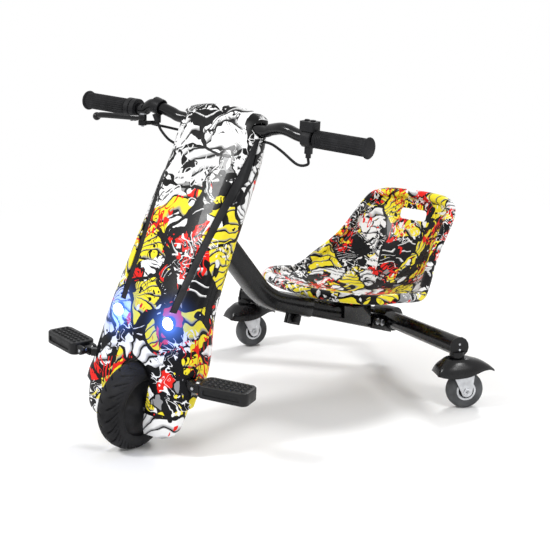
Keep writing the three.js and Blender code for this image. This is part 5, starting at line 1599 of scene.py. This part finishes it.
def throttle_housing():
    """Two ribbed rings that clamp the bar, a lobe for the cable and two screws."""
    length = GRIP_INNER - GAP - HOUSING_INNER
    edge = sizes().edge
    groove = length / 12
    half = (length - groove) / 2
    rings = [
        drum("housing_ring", HOUSING_RADIUS, half, (way * (half + groove) / 2, 0, 0), "X", 48, edge)
        for way in SIDES
    ]
    core = drum("housing_core", HOUSING_RADIUS - groove, length, axis="X", sides=48)
    lobe_size = (length * LOBE_SIZE[0], HOUSING_RADIUS, HOUSING_RADIUS * LOBE_SIZE[1])
    lobe_place = (length * LOBE_PLACE[0], 0, -HOUSING_RADIUS * LOBE_PLACE[1])
    lobe = block("housing_lobe", lobe_size, lobe_place, HOUSING_RADIUS / 5, segments=3)
    screws = []
    for way in SIDES:
        place = (0, way * HOUSING_RADIUS / 3, -HOUSING_RADIUS * LOBE_SCREW_PLACE)
        screws.append(drum("housing_screw", length / 9, GAP * 4, place, "Z", sides=6))
    piece = joined("clamped_throttle_housing", core, *rings, lobe, *screws)
    bore = drum("housing_bore", BAR_RADIUS + GAP, 2 * length, axis="X", sides=40)
    modify(piece, "REMESH", mode="VOXEL", voxel_size=length / 60)
    carve(piece, bore)
    place = front_frame() @ Matrix.Translation((-HOUSING_INNER - length / 2, BAR_Y, BAR_Z))
    return settle(piece, place, "satin_plastic", angle=0.5)


# Each row: share of the lever's reach, share of its bow
LEVER_BENDS = ((0, 0), (0.25, 1), (0.6, 1.2), (0.88, 1), (1, 0))


def lever():
    """A flattened blade that bows ahead and ends in a ball."""
    reach = LEVER_BALL - PIVOT
    ahead = Vector((0, -LEVER_THICKNESS / 2, 0))
    rise = Vector((0, 0, LEVER_THICKNESS / 2))
    bends = [PIVOT + reach * share + ahead * bow + rise * bow * share for share, bow in LEVER_BENDS]
    path = smooth_path(bends, steps=12)
    blade = tube("lever_blade", path, LEVER_WIDTH * LEVER_ROUND, sides=20)
    flat = LEVER_THICKNESS / LEVER_WIDTH
    for point in blade.data.vertices:
        along = min(path, key=lambda place: (place - point.co).length)
        point.co.y = along.y + (point.co.y - along.y) * flat
    pick_none()
    bpy.ops.mesh.primitive_uv_sphere_add(
        segments=28, ring_count=18, radius=LEVER_BALL_RADIUS, location=LEVER_BALL)
    ball = fresh("lever_ball")
    eye = drum("lever_eye", PIVOT_RADIUS, LEVER_WIDTH, PIVOT, "Z", sides=36, edge=sizes().edge)
    carve(blade, ball, eye, operation="UNION")
    carve(blade, drum("lever_hole", PIN_RADIUS + GAP, 2 * LEVER_WIDTH, PIVOT, "Z", sides=24))
    blade.name = "ball_end_lever"
    return settle(blade, front_frame(), "gloss_paint", angle=0.6)


class TRICYCLE_OT_hand_controls(bpy.types.Operator):
    """Model the grips, the throttle housing, the handlebar, the cables and the brake lever"""

    bl_idname = "tricycle.hand_controls"
    bl_label = "Hand controls"

    def execute(self, context):
        install(grip(-1, GRIP_RINGS[0]), "throttle", "rubber", "throttle_grip")
        install(grip(1, GRIP_RINGS[1]), "front_column", "rubber", "left_grip")
        install(throttle_housing(), "front_column", "black_plastic", "throttle_housing")
        install(handlebar(), "front_column", "black_paint", "handlebar")
        for node, route in CABLE_ROUTES.items():
            install(cable(node, route), "front_column", "rubber", node)
        install(lever(), "brake", "black_paint", "brake_lever")
        return {"FINISHED"}


# Tread of the foot pegs: its studs, in shares of their own square, and the panels in the sides
STUD_ROWS = 4
STUD_COLUMNS = 8
STUD_POINTS = 12
STUD_HEIGHT = 0.0034
STUD_SUNK = 0.3
STUD_HALF_WIDTH = 0.44
STUD_SLOPE = 12
PANEL_DEPTH = 0.003
PANEL_SHARES = (0.72, 0.4)


def tread_pad():
    """The peg's top: rows of small raised diamonds on a thin pad."""
    length = PEG_END - PEG_START - PEG_CORNER
    width = PEG_WIDTH - PEG_CORNER

    def place(across, along):
        x = across * STUD_COLUMNS % 1
        y = along * STUD_ROWS % 1
        slant = abs(x - 0.5) + abs(y - 0.5)
        rise = min(max((STUD_HALF_WIDTH - slant) * STUD_SLOPE, 0), 1)
        return Vector(((across - 0.5) * length, (along - 0.5) * width, STUD_HEIGHT * (rise - STUD_SUNK)))

    piece = skin("peg_tread", STUD_COLUMNS * STUD_POINTS, STUD_ROWS * STUD_POINTS, place)
    return modify(tidy_mesh(piece, turn_out=False), "SOLIDIFY", thickness=2 * STUD_HEIGHT, offset=-1)


def peg_block(length):
    """A block with wide rounded corners at its two ends and softer edges."""
    x, y = length / 2 - PEG_CORNER, PEG_WIDTH / 2 - PEG_CORNER
    outline = []
    for quarter, (across, up) in enumerate(((1, 1), (-1, 1), (-1, -1), (1, -1))):
        for i in range(9):
            turn = (quarter + i / 8) * math.pi / 2
            outline.append((across * x + PEG_CORNER * math.cos(turn), up * y + PEG_CORNER * math.sin(turn)))
    piece = prism("peg_body", outline, -PEG_THICKNESS / 2, PEG_THICKNESS / 2)
    applied(piece, Matrix.Rotation(math.pi / 2, 4, "X"))
    return rounded(piece, PEG_CORNER / 5, angle=0.9, segments=3)


def peg(side):
    """A moulded foot peg: rounded block, recessed side panels, tread and two lugs."""
    length = PEG_END - PEG_START
    middle = PEG_START + length / 2
    body = applied(peg_block(length), Matrix.Translation((middle, 0, 0)))
    panel_size = (length * PANEL_SHARES[0], 2 * PANEL_DEPTH, PEG_THICKNESS * PANEL_SHARES[1])
    panels = [
        block("peg_panel", panel_size, (middle, way * PEG_WIDTH / 2, 0), PANEL_DEPTH / 2) for way in SIDES
    ]
    carve(body, *panels)
    pad = applied(tread_pad(), Matrix.Translation((middle, 0, PEG_THICKNESS / 2)))
    lug_at = (PEG_KNUCKLE_WIDTH + PEG_LUG_WIDTH) / 2 + GAP
    web = (2 * PEG_START, PEG_LUG_WIDTH, 2 * PEG_KNUCKLE_RADIUS)
    edge = sizes().edge
    lugs = []
    for y in (lug_at, -lug_at):
        lugs.append(drum("peg_lug", PEG_KNUCKLE_RADIUS, PEG_LUG_WIDTH, (0, y, 0), "Y", sides=32, edge=edge))
        lugs.append(block("peg_web", web, (PEG_START, y, 0), edge))
    carve(body, pad, *lugs, operation="UNION")
    carve(body, drum("peg_bore", PIN_RADIUS + GAP, 2 * PEG_WIDTH, axis="Y", sides=24))
    body.name = f"treaded_peg_{SIDE_NAME[side]}"
    return settle(body, peg_frame(side), "peg_plastic", angle=0.5)


class TRICYCLE_OT_foot_pegs(bpy.types.Operator):
    """Model the two folding foot pegs with their raised tread"""

    bl_idname = "tricycle.foot_pegs"
    bl_label = "Foot pegs"

    def execute(self, context):
        for side in SIDES:
            name = SIDE_NAME[side]
            install(peg(side), f"{name}_peg", "black_plastic", f"foot_peg_{name}")
        return {"FINISHED"}


# Caster wheels, in shares of the tyre's wall, of the rim's radius or of the half width
TYRE_ROUND = 0.45
SHOULDER_POWER = 2.6
LIP_DEPTH = 0.7
SEAL_INNER_SHARE = 0.42
SEAL_OUTER_SHARE = 0.64
LIP_SHARE = 0.8
WEB_SHARE = 0.4


def eased(share):
    share = min(max(share, 0), 1)
    return share * share * (3 - 2 * share)


def fender_neck(distance, top, height):
    """Lifts the hood's top round the swivel stem into a collar."""
    near = eased((FENDER_NECK_REACH - distance) / (FENDER_NECK_REACH - FENDER_NECK_RADIUS))
    return mix(height, max(FENDER_NECK_TOP, height), near * eased(2 * top - 1))


def fender(side):
    """A hood that narrows to a beak behind, with a collar round the swivel stem."""

    def place(across, along):
        width, top, lift = smooth_row(FENDER_SHARES, along)
        turn = across * math.pi
        x = -FENDER_HALF_WIDTH * width * power_of(math.cos(turn), FENDER_ROUND[0])
        y = mix(-FENDER_FRONT, FENDER_BACK, along)
        low = FENDER_BOTTOM + lift * FENDER_HEIGHT
        z = low + (top - lift) * FENDER_HEIGHT * power_of(math.sin(turn), FENDER_ROUND[1])
        return Vector((x, y, fender_neck(math.hypot(x, y), math.sin(turn), z)))

    piece = tidy_mesh(skin(f"beaked_fender_{SIDE_NAME[side]}", 56, 72, place), turn_out=False)
    modify(piece, "SOLIDIFY", thickness=FENDER_WALL, offset=-1)
    tidy_mesh(piece)
    carve(piece, drum("stem_cutter", CASTER_STEM_RADIUS + GAP, 4 * FENDER_NECK_TOP, axis="Z", sides=48))
    rounded(piece, FENDER_WALL / 5, angle=0.9)
    return settle(piece, caster_frame(side), "hood_paint", angle=0.8)


def fork_plate(side):
    """One side of the caster's fork: wide at the crown, round at the axle."""
    front, back = CASTER_PLATE_TOP
    outline = [(back, CASTER_CROWN), (front, CASTER_CROWN)]
    for i in range(17):
        turn = math.radians(PLATE_FOOT_START + PLATE_FOOT_SWEEP * i / 16)
        across, up = CASTER_PLATE_FOOT * math.cos(turn), CASTER_PLATE_FOOT * math.sin(turn)
        outline.append((TRAIL + across, CASTER_RADIUS + up))
    inner = CASTER_WIDTH / 2 + CASTER_CLEARANCE
    start, end = sorted((-side * inner, -side * (inner + CASTER_PLATE)))
    piece = prism("fork_plate", outline, start, end)
    piece.data.transform(Matrix.Rotation(math.pi / 2, 4, "Z"))
    return rounded(piece, CASTER_PLATE / 4, angle=0.9)


def caster_fork(side):
    """Two tapered plates under a crown, the swivel stem and the axle with its nuts."""

    def upright(name, radius, top, sides):
        depth = top - CASTER_CROWN
        return drum(name, radius, depth, (0, 0, CASTER_CROWN + depth / 2), "Z", sides)

    half = CASTER_WIDTH / 2 + CASTER_CLEARANCE + CASTER_PLATE
    crown_size = (2 * half, 2 * CASTER_BOSS_RADIUS, CASTER_PLATE)
    parts = [
        block("fork_crown", crown_size, (0, 0, CASTER_CROWN), CASTER_PLATE / 4),
        fork_plate(1),
        fork_plate(-1),
        upright("fork_boss", CASTER_BOSS_RADIUS, CASTER_BOSS_TOP, 40),
        upright("fork_stem", CASTER_STEM_RADIUS, CASTER_STEM_TOP, 24),
        drum("fork_axle", CASTER_AXLE_RADIUS, 2 * (half + CASTER_PLATE), (0, TRAIL, CASTER_RADIUS), "X", 24),
    ]
    for way in SIDES:
        place = (way * (half + CASTER_PLATE / 2), TRAIL, CASTER_RADIUS)
        parts.append(drum("axle_nut", CASTER_BOLT_RADIUS, CASTER_PLATE, place, "X", 6, CASTER_PLATE / 6))
    piece = joined(f"caster_fork_and_axle_{SIDE_NAME[side]}", *parts)
    return settle(piece, caster_frame(side), "zinc_plate", angle=0.5)


def on_axle(piece, side, finish):
    place = caster_frame(side) @ Matrix.Translation((0, TRAIL, CASTER_RADIUS))
    return settle(piece, place, finish, angle=0.5)


def caster_tyre(side):
    """A hard tyre with rounded shoulders."""
    half = CASTER_WIDTH / 2
    inner = CASTER_RIM_RADIUS + GAP
    side_wall = inner + (CASTER_RADIUS - inner) * TYRE_ROUND
    profile = [(inner, half), (inner, -half), (side_wall, -half)]
    for i in range(13):
        turn = math.pi * i / 12
        radius = mix(side_wall, CASTER_RADIUS, power_of(math.sin(turn), SHOULDER_POWER))
        profile.append((radius, -half * power_of(math.cos(turn), SHOULDER_POWER)))
    profile += [(side_wall, half), (inner, half)]
    return on_axle(lathe(f"hard_tyre_{SIDE_NAME[side]}", profile, steps=72), side, "caster_rubber")


def caster_rim(side):
    """A plated rim: bright lips, a sunk web with a step, and a hub round the axle."""
    half = CASTER_WIDTH / 2 - GAP
    hub = half + CASTER_CLEARANCE / 2
    bore = CASTER_AXLE_RADIUS + GAP
    web = half * WEB_SHARE
    lip, foot = CASTER_RIM_RADIUS * LIP_SHARE, CASTER_RIM_RADIUS * SEAL_OUTER_SHARE
    half_profile = [
        (bore, hub), (CASTER_HUB_RADIUS, hub), (CASTER_HUB_RADIUS, web), (foot, web),
        (lip, half * LIP_DEPTH), (lip, half), (CASTER_RIM_RADIUS, half),
    ]
    profile = half_profile + [(radius, -x) for radius, x in reversed(half_profile)] + half_profile[:1]
    return on_axle(lathe(f"dished_rim_{SIDE_NAME[side]}", profile, steps=72), side, "zinc_plate")


def bearing_seals(side):
    """Dark seals of the wheel's bearings, one on each face of the web."""
    web = CASTER_WIDTH / 2 * WEB_SHARE
    inner, outer = CASTER_RIM_RADIUS * SEAL_INNER_SHARE, CASTER_RIM_RADIUS * SEAL_OUTER_SHARE
    seals = []
    for way in SIDES:
        faces = [(inner, 0), (outer, 0), (outer, 2 * GAP), (inner, 3 * GAP), (inner, 0)]
        seals.append(lathe("seal", [(radius, way * (web + x)) for radius, x in faces], steps=60))
    return on_axle(joined(f"bearing_seals_{SIDE_NAME[side]}", *seals), side, "grip_rubber")


class TRICYCLE_OT_casters(bpy.types.Operator):
    """Model the fenders, forks, tyres, rims and bearing seals of the two casters"""

    bl_idname = "tricycle.casters"
    bl_label = "Casters"

    def execute(self, context):
        for side in SIDES:
            name = SIDE_NAME[side]
            install(fender(side), f"{name}_caster", "black_paint", f"caster_fender_{name}")
            install(caster_fork(side), f"{name}_caster", "zinc", f"caster_fork_{name}")
            install(caster_tyre(side), f"{name}_caster_wheel", "caster_tyre", f"caster_tyre_{name}")
            install(caster_rim(side), f"{name}_caster_wheel", "zinc", f"caster_rim_{name}")
            install(bearing_seals(side), f"{name}_caster_wheel", "rubber")
        return {"FINISHED"}


# Stage: floor, lamps, world and camera
CAMERA_PLACE = Vector((1.65782, -1.73174, 0.84509))
CAMERA_TARGET = Vector((-0.01208, -0.00217, 0.257))
CAMERA_LENS = 80.77
CAMERA_SENSOR = 36
CAMERA_REACH = 100
FLOOR_SIZE = 14
FLOOR_FADE = (0.9, 2.4)
WORLD_LIGHT = 0.62

# Each lamp: name, place, size, power, colour
LAMPS = (
    ("key_lamp", (-0.9, -2.4, 2.5), 0.7, 54, (1, 1, 1)),
    ("side_lamp", (2.6, -0.5, 1.9), 0.7, 30, (1, 1, 1)),
    ("back_lamp", (-0.6, 2.2, 2.4), 0.8, 46, (1, 1, 1)),
)


def floor_finish():
    """Pale floor that keeps a soft shadow and fades to plain white far away."""
    made = Finish("pale_floor", (0.93, 0.93, 0.93), roughness=0.9, Specular_IOR_Level=0.1)
    out = made.tree.nodes["Material Output"]
    far = made.spread(made.vectors("LENGTH", {0: made.place}), *FLOOR_FADE)
    seen = made.add("LightPath").outputs["Is Camera Ray"]
    white = made.add("Emission", values={"Color": (1, 1, 1, 1), "Strength": 1.0})
    share = made.sums("MULTIPLY", far, seen)
    mixed = made.add("MixShader", links={0: share, 1: made.shader.outputs[0], 2: white.outputs[0]})
    made.tree.links.new(mixed.outputs[0], out.inputs["Surface"])
    return made.material


def white_world():
    """White where it is seen, also in gloss and glass, and softer as a light."""
    world = bpy.data.worlds.new("white_world")
    world.use_nodes = True
    world.node_tree.nodes.clear()
    made = Nodes(world.node_tree)
    path = made.add("LightPath").outputs
    seen = made.sums("MAXIMUM", path["Is Camera Ray"], path["Is Glossy Ray"])
    clear = made.sums("MAXIMUM", seen, path["Is Transmission Ray"])
    light, backdrop = (
        made.add("Background", values={"Color": (1, 1, 1, 1), "Strength": strength}).outputs[0]
        for strength in (WORLD_LIGHT, 1)
    )
    mixed = made.add("MixShader", links={0: clear, 1: light, 2: backdrop})
    made.add("OutputWorld", links={"Surface": mixed.outputs[0]})
    bpy.context.scene.world = world


def aim(thing, place, target):
    thing.location = place
    thing.rotation_euler = (target - Vector(place)).to_track_quat("-Z", "Y").to_euler()


class TRICYCLE_OT_stage(bpy.types.Operator):
    """Lay the floor, set the lamps and the camera, and light the world"""

    bl_idname = "tricycle.stage"
    bl_label = "Stage"

    def execute(self, context):
        pick_none()
        bpy.ops.mesh.primitive_plane_add(size=FLOOR_SIZE)
        floor = fresh("pale_floor")
        floor.data.materials.append(floor_finish())
        white_world()
        middle = Vector((0, 0, CAMERA_TARGET.z))
        for name, place, size, power, colour in LAMPS:
            data = bpy.data.lights.new(name, "AREA")
            data.shape = "DISK"
            data.size = size
            data.energy = power
            data.color = colour
            lamp = bpy.data.objects.new(name, data)
            context.scene.collection.objects.link(lamp)
            aim(lamp, place, middle)
        camera = bpy.data.objects.new("photo_camera", bpy.data.cameras.new("photo_camera"))
        camera.data.lens = CAMERA_LENS
        camera.data.sensor_width = CAMERA_SENSOR
        camera.data.clip_end = CAMERA_REACH
        context.scene.collection.objects.link(camera)
        aim(camera, CAMERA_PLACE, CAMERA_TARGET)
        context.scene.camera = camera
        context.scene.view_settings.view_transform = "Standard"
        return {"FINISHED"}


class TRICYCLE_PT_pieces(bpy.types.Panel):
    """Lists the sizes, the colours and the pieces of the tricycle"""

    bl_label = "Drift tricycle"
    bl_idname = "TRICYCLE_PT_pieces"
    bl_space_type = "VIEW_3D"
    bl_region_type = "UI"
    bl_category = "Tricycle"

    def draw(self, context):
        layout = self.layout
        for group in (sizes(), colours()):
            for key in group.__annotations__:
                layout.prop(group, key)
        for operator in OPERATORS:
            layout.operator(operator.bl_idname)


OPERATORS = (
    TRICYCLE_OT_shell,
    TRICYCLE_OT_plain_parts,
    TRICYCLE_OT_seat,
    TRICYCLE_OT_front_tyre,
    TRICYCLE_OT_headlights,
    TRICYCLE_OT_hand_controls,
    TRICYCLE_OT_foot_pegs,
    TRICYCLE_OT_casters,
    TRICYCLE_OT_stage,
)
CLASSES = (TricycleColours, TricycleSizes, *OPERATORS, TRICYCLE_PT_pieces)


def register():
    for kind in CLASSES:
        bpy.utils.register_class(kind)
    bpy.types.Scene.tricycle_colours = bpy.props.PointerProperty(type=TricycleColours)
    bpy.types.Scene.tricycle_sizes = bpy.props.PointerProperty(type=TricycleSizes)


def unregister():
    del bpy.types.Scene.tricycle_sizes
    del bpy.types.Scene.tricycle_colours
    for kind in reversed(CLASSES):
        bpy.utils.unregister_class(kind)


def main():
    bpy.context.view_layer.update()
    register()
    finish_set()
    for operator in OPERATORS:
        group, name = operator.bl_idname.split(".")
        getattr(getattr(bpy.ops, group), name)()


if __name__ == "__main__":
    main()
